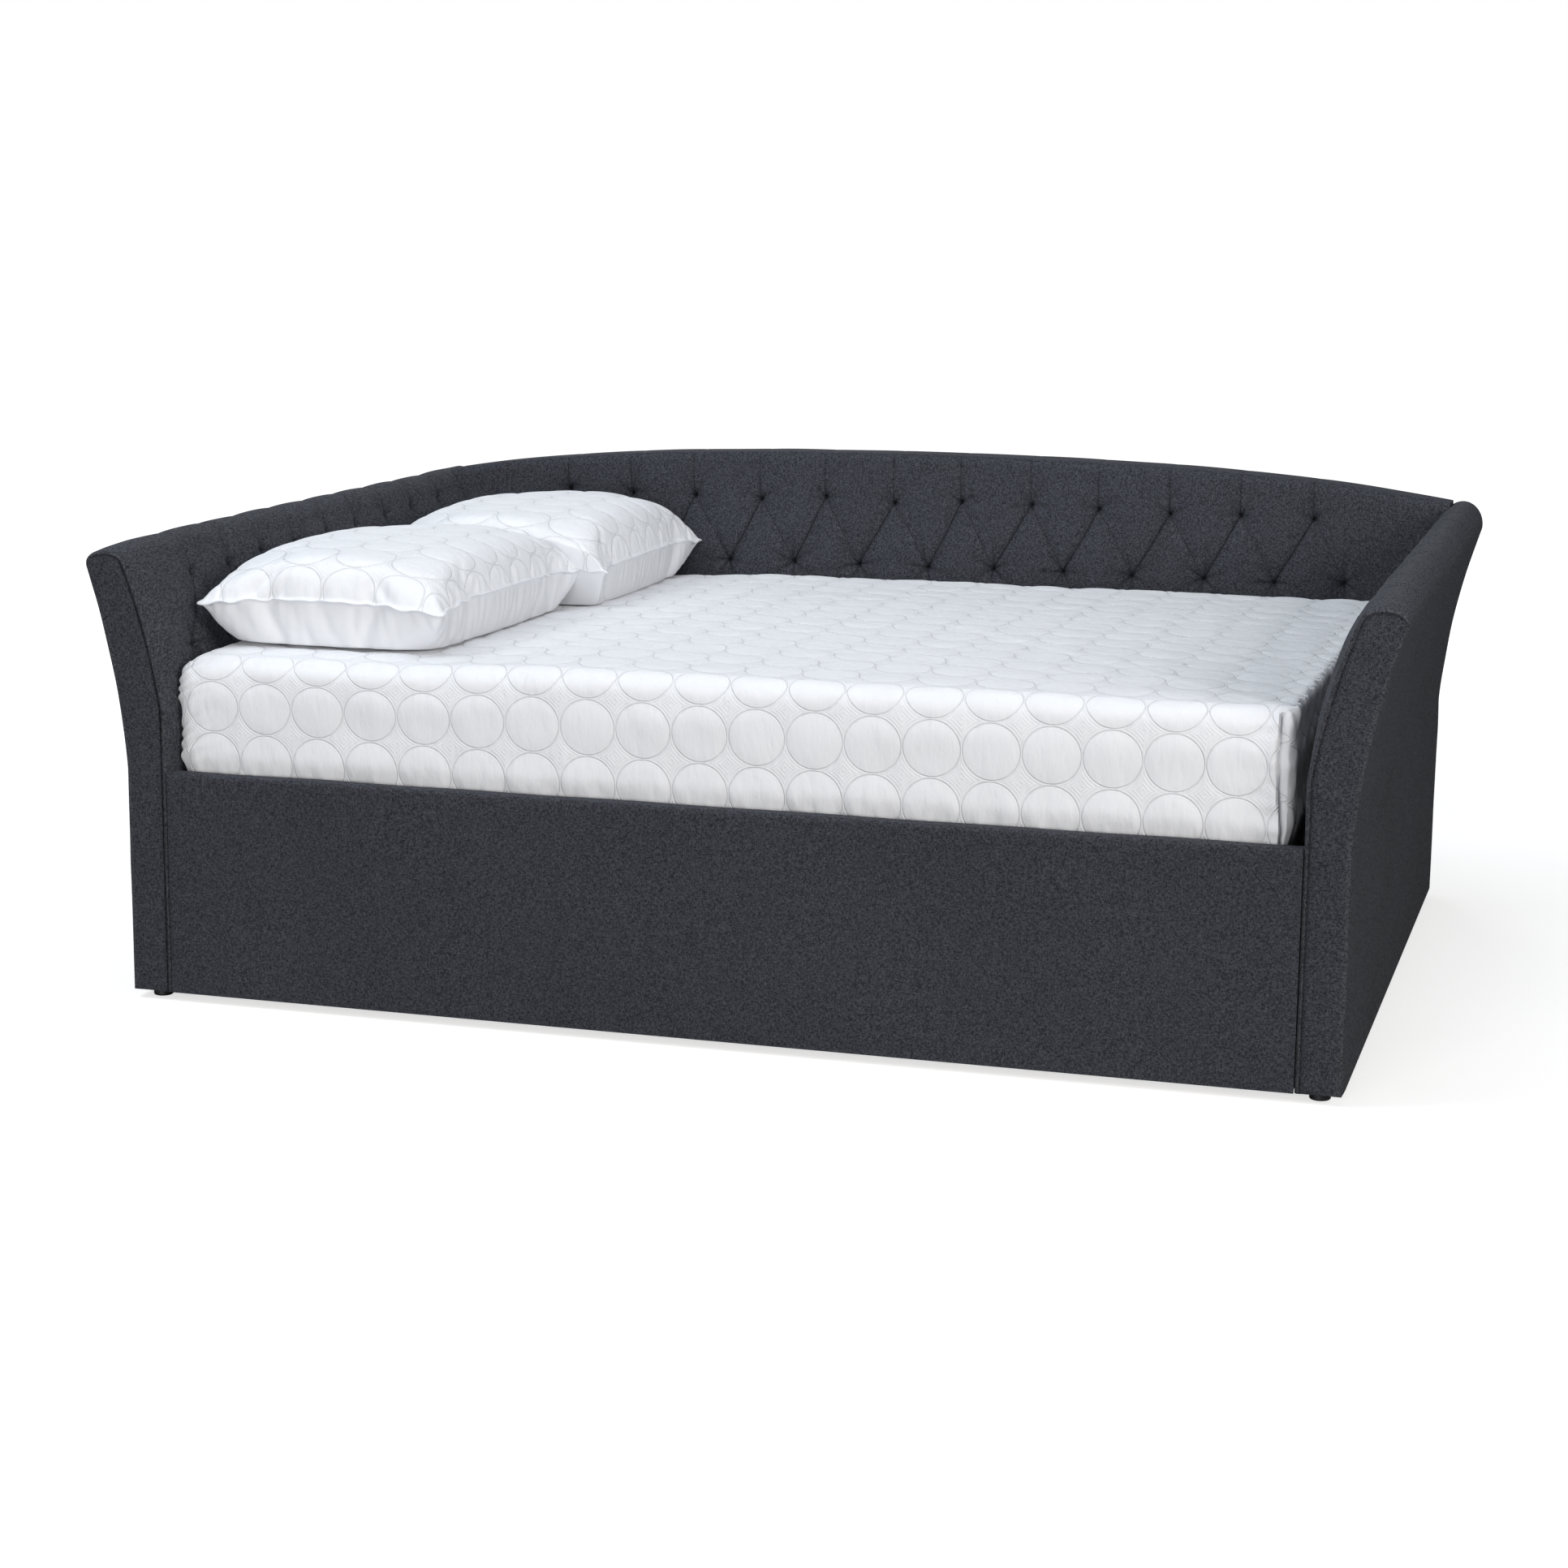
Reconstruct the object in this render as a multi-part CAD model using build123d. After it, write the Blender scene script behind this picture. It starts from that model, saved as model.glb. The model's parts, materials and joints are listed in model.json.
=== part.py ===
from build123d import *
import os

# An upholstered daybed. Millimetres, +X to the right, +Y to the back, +Z up,
# origin on the floor below the middle of the object.

# Driving dimensions: the clear plan between the arms, the front and the back
INSIDE_WIDTH = 2060.0
DEPTH = 1664.0
BACK_HEIGHT = 926.0
ARM_THICKNESS = 78.0
ARM_REACH = 1180.0
ARM_RIDGE_X = 1142.0
ARM_RIDGE_Z = 848.0
ROLL_Z = 806.0
FLARE_OUTER_Z = 430.0
FLARE_INNER_Z = 540.0
BACK_THICKNESS = 108.0
RAIL_THICKNESS = 40.0
RAIL_TOP = 428.0
RAIL_GAP = 3.0
GLIDE_HEIGHT = 16.0
GLIDE_RADIUS = 18.0

# Upholstery and frame stock
COVER = 6.0
REAR_COVER = 8.0
FOAM = 42.0
PLYWOOD = 9.0
LUMBER = 44.0
POST_DEPTH = 70.0
POST_TOP = 790.0
RAIL_HEIGHT = 90.0
ARM_PAD = 18.0
ARM_BOARD_TOP = 560.0
TOP_RAIL_SIZE = (38.0, 46.0)
TOP_RAIL_CENTRE = (1127.0, 765.0)
BACK_END_X = 1118.0
BACK_END_Z = 858.0

# Slatted deck
DECK_TOP = 372.0
SLAT_COUNT = 11
SLAT_WIDTH = 110.0
SLAT_THICKNESS = 18.0
LEDGER = (30.0, 32.0)
BEAM = (40.0, 90.0)
CLEAT_LENGTH = 120.0
CLEAT_HEIGHT = 60.0
LEG = 44.0
LEG_HEIGHT_GLIDE = 12.0
LEG_X = 343.0

# Bedding
MATTRESS_WIDTH = 2020.0
MATTRESS_DEPTH = 1508.0
MATTRESS_TOP = 657.0
MATTRESS_X = -8.0
MATTRESS_Y = -34.0
QUILT = 8.0
CLEAR = 0.3
PILLOW_WIDTH = 494.0
PILLOW_LENGTH = 690.0
PILLOW_LOWER = 66.0
PILLOW_UPPER = 100.0
PILLOW_X = -784.0
PILLOW_FRONT_Y = -320.0
PILLOW_REAR_Y = 371.0
PILLOW_SHOULDER = 75.0
PILLOW_CORNER = 40.0
PILLOW_COVER = 4.0

# Fasteners
BRACKET_LEG = 60.0
BRACKET_THICKNESS = 3.0
BRACKET_Z = (140.0, 260.0)
BOLT_RADIUS = 4.0
BOLT_HEAD_RADIUS = 7.0
BOLT_HEAD = 5.0
BOLT_INSET = 16.0
REAR_BOLT_Z = (200.0, 600.0)
SCREW_RADIUS = 2.0
SCREW_HEAD_RADIUS = 4.0
SCREW_HEAD = 3.0
SCREW_LENGTH = 32.0

# Derived planes
HALF_IN = INSIDE_WIDTH / 2
HALF_DEPTH = DEPTH / 2
ARM_OUTER = HALF_IN + ARM_THICKNESS
BACK_FRONT = HALF_DEPTH - BACK_THICKNESS
RAIL_REAR = -HALF_DEPTH + RAIL_THICKNESS
POST_END = HALF_DEPTH - COVER - POST_DEPTH
BOARD_IN = HALF_IN + COVER + ARM_PAD
BOARD_OUT = BOARD_IN + PLYWOOD
SLAT_BOTTOM = DECK_TOP - SLAT_THICKNESS
BACK_FOAM_Y = BACK_FRONT + COVER
BACK_BOARD_Y = BACK_FOAM_Y + FOAM
BACK_FRAME_Y = BACK_BOARD_Y + PLYWOOD
BACK_REAR_Y = HALF_DEPTH - REAR_COVER
POST_IN = HALF_IN - 1 - LUMBER


def block(x, y, z):
    """Box between two corners, given as (low, high) on each axis."""
    size = [high - low for low, high in (x, y, z)]
    centre = [(high + low) / 2 for low, high in (x, y, z)]
    return Pos(*centre) * Box(*size)


def slab(outline, y_low, y_high):
    """Outline drawn in (x, z), extruded along Y between two planes."""
    return extrude(Plane.XZ.offset(-y_high) * outline, amount=y_high - y_low)


def polygon(*points):
    """Closed flat outline with straight sides."""
    return make_face(Polyline(*points, close=True))


def arm_outline():
    """Cross-section of the right arm: straight below, flared above, with a rolled top."""
    outer_foot = (ARM_OUTER, GLIDE_HEIGHT)
    outer_bend = (ARM_OUTER, FLARE_OUTER_Z)
    outer_middle = (ARM_OUTER + 25, 622)
    roll_outer = (ARM_REACH, ROLL_Z - 6)
    ridge = (ARM_RIDGE_X, ARM_RIDGE_Z)
    roll_inner = (ARM_RIDGE_X - 40, ROLL_Z + 6)
    inner_middle = (HALF_IN + 24, 661)
    inner_bend = (HALF_IN, FLARE_INNER_Z)
    inner_foot = (HALF_IN, GLIDE_HEIGHT)
    edges = [
        Line(outer_foot, outer_bend),
        ThreePointArc(outer_bend, outer_middle, roll_outer),
        ThreePointArc(roll_outer, ridge, roll_inner),
        ThreePointArc(roll_inner, inner_middle, inner_bend),
        Line(inner_bend, inner_foot),
        Line(inner_foot, outer_foot),
    ]
    return make_face(edges)


def arm_inner_side():
    """Region on the mattress side of the line where the arm's two covers meet."""
    middle = HALF_IN + ARM_THICKNESS / 2
    left = HALF_IN - 100
    return polygon(
        (left, 0),
        (middle, 0),
        (middle, ARM_BOARD_TOP),
        (ARM_RIDGE_X, ARM_RIDGE_Z + 50),
        (left, ARM_RIDGE_Z + 50),
    )


def arm_parts():
    """The right arm's pieces, by name."""
    outline = arm_outline()
    core = offset(outline, -COVER)
    skin = outline - core
    front = -HALF_DEPTH + COVER
    rear = HALF_DEPTH - COVER
    side = arm_inner_side()
    behind_pad = polygon(
        (BOARD_IN, 0),
        (ARM_REACH, 0),
        (ARM_REACH, ARM_BOARD_TOP),
        (BOARD_IN, ARM_BOARD_TOP),
    )
    rail_w, rail_h = TOP_RAIL_SIZE
    top_rail = Pos(*TOP_RAIL_CENTRE) * Rectangle(rail_w, rail_h)
    below_roll = polygon(
        (HALF_IN, 0),
        (ARM_REACH, 0),
        (ARM_REACH, POST_TOP),
        (HALF_IN, POST_TOP),
    )
    post, over_post = core & below_roll, core - below_roll
    low = GLIDE_HEIGHT + COVER
    between = (-POST_END, POST_END)
    foam = slab(core - behind_pad - top_rail, *between)
    foam += slab(over_post, front, -POST_END) + slab(over_post, POST_END, rear)
    return {
        "front_facing": slab(outline, -HALF_DEPTH, front),
        "post_front": slab(post, front, -POST_END),
        "post_rear": slab(post, POST_END, rear),
        "bottom_rail": block((BOARD_OUT, ARM_OUTER - COVER), between, (low, low + RAIL_HEIGHT)),
        "top_rail": slab(top_rail, *between),
        "board": block((BOARD_IN, BOARD_OUT), between, (low, ARM_BOARD_TOP)),
        "foam": foam,
        "inner_cover": slab(skin & side, front, HALF_DEPTH),
        "outer_cover": slab(skin - side, front, HALF_DEPTH) + slab(core, rear, HALF_DEPTH),
    }


def back_outline(top_inset=0.0):
    """Front view of the back: between the arms' inner sides, under a shallow arch."""
    end = BACK_END_Z - top_inset
    crown = BACK_HEIGHT - top_inset
    arch = ThreePointArc((-BACK_END_X, end), (0, crown), (BACK_END_X, end))
    middle = HALF_IN + ARM_THICKNESS / 2
    right_side = [
        (BACK_END_X, end),
        (BACK_END_X, ROLL_Z + 24),
        (middle, FLARE_INNER_Z),
        (middle, GLIDE_HEIGHT),
    ]
    left_side = [(-x, z) for x, z in reversed(right_side)]
    foot = Polyline(*right_side, *left_side)
    arm = arm_outline()
    return make_face([arch, *foot.edges()]) - arm - mirror(arm, about=Plane.YZ)


def back_parts():
    """The back's pieces, by name."""
    outline = back_outline()
    inner = back_outline(COVER)
    low = GLIDE_HEIGHT + COVER
    frame_y = (BACK_FRAME_Y, BACK_REAR_Y)
    post_z = (low, BACK_END_Z - 100)
    rail_x = (-POST_IN, POST_IN)
    top = BACK_END_Z - 10
    return {
        "back_cover": slab(outline, BACK_FRONT, BACK_REAR_Y) - slab(inner, BACK_FOAM_Y, BACK_REAR_Y),
        "back_foam": slab(inner, BACK_FOAM_Y, BACK_BOARD_Y),
        "back_board": slab(inner, BACK_BOARD_Y, BACK_FRAME_Y),
        "back_post_left": block((-POST_IN - LUMBER, -POST_IN), frame_y, post_z),
        "back_post_right": block((POST_IN, POST_IN + LUMBER), frame_y, post_z),
        "back_bottom_rail": block(rail_x, frame_y, (low, low + RAIL_HEIGHT)),
        "back_top_rail": block(rail_x, frame_y, (top - RAIL_HEIGHT, top)),
        "back_rear_cover": slab(outline, BACK_REAR_Y, HALF_DEPTH),
    }


def front_rail_parts():
    """The fixed front rail: a board in a padded cover that folds over its top edge."""
    x = (-HALF_IN + RAIL_GAP, HALF_IN - RAIL_GAP)
    outside = block(x, (-HALF_DEPTH, RAIL_REAR), (GLIDE_HEIGHT, RAIL_TOP))
    board_y = (-HALF_DEPTH + REAR_COVER, RAIL_REAR - COVER)
    board = block(x, board_y, (GLIDE_HEIGHT, RAIL_TOP - COVER))
    return {"front_board": board, "front_cover": outside - board}


def deck_parts():
    """Ledgers, centre beam with its cleats and legs, and the slats across them."""
    ledger_d, ledger_h = LEDGER
    ledger_x = (-HALF_IN + 10, HALF_IN - 10)
    ledger_z = (SLAT_BOTTOM - ledger_h, SLAT_BOTTOM)
    beam_w, beam_h = BEAM
    beam_low = SLAT_BOTTOM - beam_h
    parts = {
        "ledger_front": block(ledger_x, (RAIL_REAR, RAIL_REAR + ledger_d), ledger_z),
        "ledger_rear": block(ledger_x, (BACK_FRONT - ledger_d, BACK_FRONT), ledger_z),
        "centre_beam": block((-HALF_IN, HALF_IN), (-beam_w / 2, beam_w / 2), (beam_low, SLAT_BOTTOM)),
    }
    for side, sign in (("left", -1), ("right", 1)):
        cleat_x = sorted((sign * HALF_IN, sign * (HALF_IN - ledger_d)))
        cleat_y = (-CLEAT_LENGTH / 2, CLEAT_LENGTH / 2)
        parts[f"beam_cleat_{side}"] = block(cleat_x, cleat_y, (beam_low - CLEAT_HEIGHT, beam_low))
        leg = Box(LEG, LEG, beam_low - LEG_HEIGHT_GLIDE, align=(Align.CENTER, Align.CENTER, Align.MIN))
        parts[f"centre_leg_{side}"] = Pos(sign * LEG_X, 0, LEG_HEIGHT_GLIDE) * leg
    for index, x in enumerate(slat_centres(), start=1):
        slat_x = (x - SLAT_WIDTH / 2, x + SLAT_WIDTH / 2)
        slat_y = (RAIL_REAR + 2, BACK_FRONT - 2)
        parts[f"slat_{index:02d}"] = block(slat_x, slat_y, (SLAT_BOTTOM, DECK_TOP))
    return parts


def slat_centres():
    """X of each slat, evenly spaced between the arms."""
    pitch = INSIDE_WIDTH / SLAT_COUNT
    return [(i - (SLAT_COUNT - 1) / 2) * pitch for i in range(SLAT_COUNT)]


def glides():
    """Round plastic feet: one under each arm post and one under each centre leg."""
    arm_x = (HALF_IN + ARM_OUTER) / 2
    post_y = POST_END + POST_DEPTH / 2
    places = [(x, y, GLIDE_HEIGHT) for x in (-arm_x, arm_x) for y in (-post_y, post_y)]
    places += [(x, 0, LEG_HEIGHT_GLIDE) for x in (-LEG_X, LEG_X)]
    feet = []
    for x, y, height in places:
        foot = Cylinder(GLIDE_RADIUS, height, align=(Align.CENTER, Align.CENTER, Align.MIN))
        foot = fillet(foot.edges().group_by(Axis.Z)[0], 3)
        feet.append(Pos(x, y, 0) * foot)
    return Compound(children=feet)


def corner_brackets():
    """Steel angles that tie the front rail to the arms."""
    z = BRACKET_Z
    reach = HALF_IN - BRACKET_LEG
    arm_leg = block(
        (HALF_IN - BRACKET_THICKNESS, HALF_IN), (RAIL_REAR, RAIL_REAR + BRACKET_LEG), z
    )
    rail_leg = block((reach, HALF_IN), (RAIL_REAR, RAIL_REAR + BRACKET_THICKNESS), z)
    right = arm_leg + rail_leg
    return Compound(children=[right, mirror(right, about=Plane.YZ)])


def bolt(start, direction, length):
    """Bolt whose head stands at start and whose shank runs along direction."""
    up = (Align.CENTER, Align.CENTER, Align.MIN)
    down = (Align.CENTER, Align.CENTER, Align.MAX)
    shank = Cylinder(BOLT_RADIUS, length, align=up)
    head = Cylinder(BOLT_HEAD_RADIUS, BOLT_HEAD, align=down)
    return Plane(origin=start, z_dir=direction) * (shank + head)


def frame_bolts():
    """Bolts through the brackets, and through the back's end posts into the arms."""
    bolts = []
    inner_x = HALF_IN - BRACKET_THICKNESS
    inner_y = RAIL_REAR + BRACKET_THICKNESS
    reach_y = RAIL_REAR + BRACKET_LEG - 2 * BOLT_INSET
    hole_x = HALF_IN - BRACKET_LEG + BOLT_INSET
    rear_y = (BACK_FRAME_Y + BACK_REAR_Y) / 2
    for sign in (-1, 1):
        for z in (BRACKET_Z[0] + BOLT_INSET, BRACKET_Z[1] - BOLT_INSET):
            bolts.append(bolt((sign * inner_x, reach_y, z), (sign, 0, 0), 50))
            bolts.append(bolt((sign * hole_x, inner_y, z), (0, -1, 0), 28))
        for z in REAR_BOLT_Z:
            bolts.append(bolt((sign * POST_IN, rear_y, z), (sign, 0, 0), 100))
    return Compound(children=bolts)


def screw(x, y, z, direction, length):
    """Countersunk wood screw whose head is flush at the given point."""
    down = (Align.CENTER, Align.CENTER, Align.MIN)
    shank = Cylinder(SCREW_RADIUS, length, align=down)
    head = Cone(SCREW_HEAD_RADIUS, SCREW_RADIUS, SCREW_HEAD, align=down)
    return Plane(origin=(x, y, z), z_dir=direction) * (shank + head)


def deck_screws():
    """Screws that hold the slats down, and the ledgers and cleats to what carries them."""
    screws = []
    ledger_d, ledger_h = LEDGER
    front_y = RAIL_REAR + ledger_d / 2
    rear_y = BACK_FRONT - ledger_d / 2
    for x in slat_centres():
        for y in (front_y, 0, rear_y):
            screws.append(screw(x, y, DECK_TOP, (0, 0, -1), SCREW_LENGTH))
    ledger_z = SLAT_BOTTOM - ledger_h / 2
    for x in (-900, -300, 300, 900):
        screws.append(screw(x, RAIL_REAR + ledger_d, ledger_z, (0, -1, 0), 50))
        screws.append(screw(x, BACK_FRONT - ledger_d, ledger_z, (0, 1, 0), 85))
    cleat_z = SLAT_BOTTOM - BEAM[1] - CLEAT_HEIGHT / 2
    for sign in (-1, 1):
        for y in (-CLEAT_LENGTH / 3, CLEAT_LENGTH / 3):
            start = sign * (HALF_IN - ledger_d)
            screws.append(screw(start, y, cleat_z, (sign, 0, 0), 60))
    return Compound(children=screws)


def mattress_parts():
    """Mattress core and the five sewn panels of its quilted cover."""
    half_w, half_d = MATTRESS_WIDTH / 2, MATTRESS_DEPTH / 2
    x = (MATTRESS_X - half_w, MATTRESS_X + half_w)
    y = (MATTRESS_Y - half_d, MATTRESS_Y + half_d)
    low = DECK_TOP + CLEAR
    under_top = (low, MATTRESS_TOP - QUILT)
    core_x = (x[0] + QUILT, x[1] - QUILT)
    core_y = (y[0] + QUILT, y[1] - QUILT)
    return {
        "mattress_core": block(core_x, core_y, under_top),
        "quilt_top": block(x, y, (MATTRESS_TOP - QUILT, MATTRESS_TOP)),
        "quilt_front": block(x, (y[0], core_y[0]), under_top),
        "quilt_rear": block(x, (core_y[1], y[1]), under_top),
        "quilt_left": block((x[0], core_x[0]), core_y, under_top),
        "quilt_right": block((core_x[1], x[1]), core_y, under_top),
    }


def cushion(inset=0.0):
    """Closed pillow body about its seam plane: widest there, narrowing to a flat top and bottom."""
    width, length = PILLOW_WIDTH - 2 * inset, PILLOW_LENGTH - 2 * inset
    cap_width, cap_length = width - 2 * PILLOW_SHOULDER, length - 2 * PILLOW_SHOULDER
    seam = RectangleRounded(width, length, PILLOW_CORNER)
    cap = RectangleRounded(cap_width, cap_length, PILLOW_CORNER)
    upper = loft([seam, Pos(0, 0, PILLOW_UPPER - inset) * cap], ruled=True)
    lower = loft([Pos(0, 0, inset - PILLOW_LOWER) * cap, seam], ruled=True)
    return upper + lower


def pillow_parts(name, y):
    """Filling and cover of one pillow that lies on the mattress."""
    place = Pos(PILLOW_X, y, MATTRESS_TOP + CLEAR + PILLOW_LOWER)
    filling = cushion(PILLOW_COVER)
    return {f"{name}_filling": place * filling, f"{name}_cover": place * (cushion() - filling)}


def all_parts():
    """Every node, by name, with the holes that its fasteners need."""
    parts = {}
    for name, piece in arm_parts().items():
        parts[f"arm_right_{name}"] = piece
        parts[f"arm_left_{name}"] = mirror(piece, about=Plane.YZ)
    parts.update(back_parts())
    parts.update(front_rail_parts())
    parts.update(deck_parts())
    bolts, screws = frame_bolts(), deck_screws()
    brackets = corner_brackets()
    for name, piece in parts.items():
        parts[name] = drilled(piece, bolts, screws)
    parts["corner_brackets"] = Compound(children=[drilled(b, bolts) for b in brackets.solids()])
    parts["glides"] = glides()
    parts["frame_bolts"] = bolts
    parts["deck_screws"] = screws
    parts.update(mattress_parts())
    parts.update(pillow_parts("pillow_front", PILLOW_FRONT_Y))
    parts.update(pillow_parts("pillow_rear", PILLOW_REAR_Y))
    return parts


def drilled(piece, *fastener_groups):
    """The piece with a hole for every fastener that reaches into it."""
    box = piece.bounding_box()
    for group in fastener_groups:
        for fastener in group.solids():
            if boxes_meet(box, fastener.bounding_box()):
                piece = piece - fastener
    return piece


def boxes_meet(a, b):
    """Whether two bounding boxes share any space."""
    lows = zip(tuple(a.min), tuple(b.max))
    highs = zip(tuple(b.min), tuple(a.max))
    return all(low < high for low, high in [*lows, *highs])


os.makedirs("parts", exist_ok=True)
for node, shape in all_parts().items():
    export_step(shape, f"parts/{node}.step")
    print(node, round(shape.volume / 1000), "cm3")
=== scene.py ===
"""Looks of an upholstered daybed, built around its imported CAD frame. Metres, +Z up, +Y to the back."""

import json
import logging
import math
from collections.abc import Callable, Iterable
from dataclasses import dataclass, field
from enum import Enum

import bpy
import numpy as np
from mathutils import Matrix, Vector


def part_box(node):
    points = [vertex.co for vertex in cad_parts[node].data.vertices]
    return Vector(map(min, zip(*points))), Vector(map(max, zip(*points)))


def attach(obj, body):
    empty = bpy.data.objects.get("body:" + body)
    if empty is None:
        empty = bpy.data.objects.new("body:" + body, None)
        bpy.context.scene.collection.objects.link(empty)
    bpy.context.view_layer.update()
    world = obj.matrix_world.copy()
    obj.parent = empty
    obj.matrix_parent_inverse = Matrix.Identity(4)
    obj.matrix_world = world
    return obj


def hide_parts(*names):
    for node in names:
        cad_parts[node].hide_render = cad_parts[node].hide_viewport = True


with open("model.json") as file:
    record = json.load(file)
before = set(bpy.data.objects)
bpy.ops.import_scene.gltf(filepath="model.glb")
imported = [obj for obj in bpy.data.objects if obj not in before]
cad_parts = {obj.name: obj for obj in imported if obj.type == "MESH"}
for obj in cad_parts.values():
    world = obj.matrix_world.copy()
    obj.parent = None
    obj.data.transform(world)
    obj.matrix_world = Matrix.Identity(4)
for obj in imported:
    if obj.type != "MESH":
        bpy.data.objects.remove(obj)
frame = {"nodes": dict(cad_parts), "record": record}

LOG = logging.getLogger("daybed")
MM = 0.001
PILLOW_DENT = 9 * MM


class Side(Enum):
    """Which end of the daybed an arm stands at."""

    LEFT = -1
    RIGHT = 1

    @property
    def word(self) -> str:
        """Name used in node names."""
        return self.name.lower()


class Body(Enum):
    """Rigid bodies of the frame that pieces ride on."""

    FRAME = "frame"
    MATTRESS = "mattress"
    PILLOW_FRONT = "pillow_front"
    PILLOW_REAR = "pillow_rear"


# ---------------------------------------------------------------- mesh helpers


def deselect() -> None:
    """Leave object mode with nothing selected."""
    if bpy.context.object and bpy.context.object.mode != "OBJECT":
        bpy.ops.object.mode_set(mode="OBJECT")
    bpy.ops.object.select_all(action="DESELECT")


def activate(piece: bpy.types.Object) -> None:
    """Select one object alone and make it active.

    Args:
        piece: The object to work on.
    """
    deselect()
    piece.select_set(True)
    bpy.context.view_layer.objects.active = piece


def points_of(piece: bpy.types.Object) -> np.ndarray:
    """Vertex positions of a mesh.

    Args:
        piece: Mesh object at the origin.

    Returns:
        Array of shape (vertices, 3), in metres.
    """
    flat = np.empty(len(piece.data.vertices) * 3)
    piece.data.vertices.foreach_get("co", flat)
    return flat.reshape(-1, 3)


def set_points(piece: bpy.types.Object, points: np.ndarray) -> None:
    """Write vertex positions back to a mesh.

    Args:
        piece: Mesh object.
        points: Array of shape (vertices, 3).
    """
    piece.data.vertices.foreach_set("co", np.ascontiguousarray(points, dtype=np.float64).ravel())
    piece.data.update()


def normals_of(piece: bpy.types.Object) -> np.ndarray:
    """Unit vertex normals of a mesh.

    Args:
        piece: Mesh object.

    Returns:
        Array of shape (vertices, 3).
    """
    flat = np.empty(len(piece.data.vertices) * 3)
    piece.data.vertices.foreach_get("normal", flat)
    return flat.reshape(-1, 3)


def corner_vertices(mesh: bpy.types.Mesh) -> np.ndarray:
    """Vertex number of each face corner."""
    corners = np.empty(len(mesh.loops), dtype=np.int64)
    mesh.loops.foreach_get("vertex_index", corners)
    return corners


def corner_counts(mesh: bpy.types.Mesh) -> np.ndarray:
    """Number of corners of each face."""
    totals = np.empty(len(mesh.polygons), dtype=np.int64)
    mesh.polygons.foreach_get("loop_total", totals)
    return totals


def face_normals(mesh: bpy.types.Mesh) -> np.ndarray:
    """Direction of each face, as an array of shape (faces, 3)."""
    flat = np.empty(len(mesh.polygons) * 3)
    mesh.polygons.foreach_get("normal", flat)
    return flat.reshape(-1, 3)


def face_materials(mesh: bpy.types.Mesh) -> np.ndarray:
    """Material number of each face."""
    kinds = np.empty(len(mesh.polygons), dtype=np.int32)
    mesh.polygons.foreach_get("material_index", kinds)
    return kinds


def clear_maps(mesh: bpy.types.Mesh) -> None:
    """Remove the UV maps that a primitive comes with."""
    while mesh.uv_layers:
        mesh.uv_layers.remove(mesh.uv_layers[0])


def store_map(mesh: bpy.types.Mesh, name: str, flat: np.ndarray) -> None:
    """Add a UV map.

    Args:
        mesh: Mesh that gets the map.
        name: Name of the map.
        flat: Array of shape (face corners, 2).
    """
    mesh.uv_layers.new(name=name).data.foreach_set("uv", flat.ravel())


def unit_grid(name: str, columns: int, rows: int) -> tuple[bpy.types.Object, np.ndarray, np.ndarray]:
    """Add a flat grid that a surface formula will shape.

    Args:
        name: Object name.
        columns: Faces along u.
        rows: Faces along v.

    Returns:
        The object, and u and v of each vertex, from 0 to 1.
    """
    deselect()
    bpy.ops.mesh.primitive_grid_add(x_subdivisions=columns, y_subdivisions=rows, size=1.0)
    piece = bpy.context.object
    piece.name = name
    piece.data.name = name
    flat = points_of(piece)
    return piece, flat[:, 0] + 0.5, flat[:, 1] + 0.5


def close_shell(piece: bpy.types.Object, weld: float = 1e-5) -> None:
    """Weld doubled vertices, cap open ends and turn the faces outwards.

    Args:
        piece: Mesh object.
        weld: Distance under which vertices join, in metres.
    """
    activate(piece)
    bpy.ops.object.mode_set(mode="EDIT")
    bpy.ops.mesh.select_all(action="SELECT")
    bpy.ops.mesh.remove_doubles(threshold=weld)
    bpy.ops.mesh.select_all(action="SELECT")
    bpy.ops.mesh.fill_holes(sides=0)
    bpy.ops.mesh.select_all(action="SELECT")
    bpy.ops.mesh.normals_make_consistent(inside=False)
    bpy.ops.object.mode_set(mode="OBJECT")


def meet_ends(points: np.ndarray, u: np.ndarray, v: np.ndarray) -> None:
    """Put the last row of a rolled-up grid exactly on its first row.

    Args:
        points: Places of the grid's vertices, changed in place.
        u: Steps of the vertices along the rows.
        v: Steps of the vertices across the rows.
    """
    first, last = np.flatnonzero(v < 1e-6), np.flatnonzero(v > 1 - 1e-6)
    points[last[np.argsort(u[last])]] = points[first[np.argsort(u[first])]]


def smooth(piece: bpy.types.Object, degrees: float = 60.0) -> None:
    """Shade smooth, but keep edges sharper than an angle crisp.

    Args:
        piece: Mesh object.
        degrees: Angle past which an edge stays crisp.
    """
    activate(piece)
    bpy.ops.object.shade_smooth_by_angle(angle=math.radians(degrees))


def apply_all(piece: bpy.types.Object) -> None:
    """Apply every modifier of a piece, in order.

    Args:
        piece: Mesh object.
    """
    activate(piece)
    for modifier in list(piece.modifiers):
        bpy.ops.object.modifier_apply(modifier=modifier.name)


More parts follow.
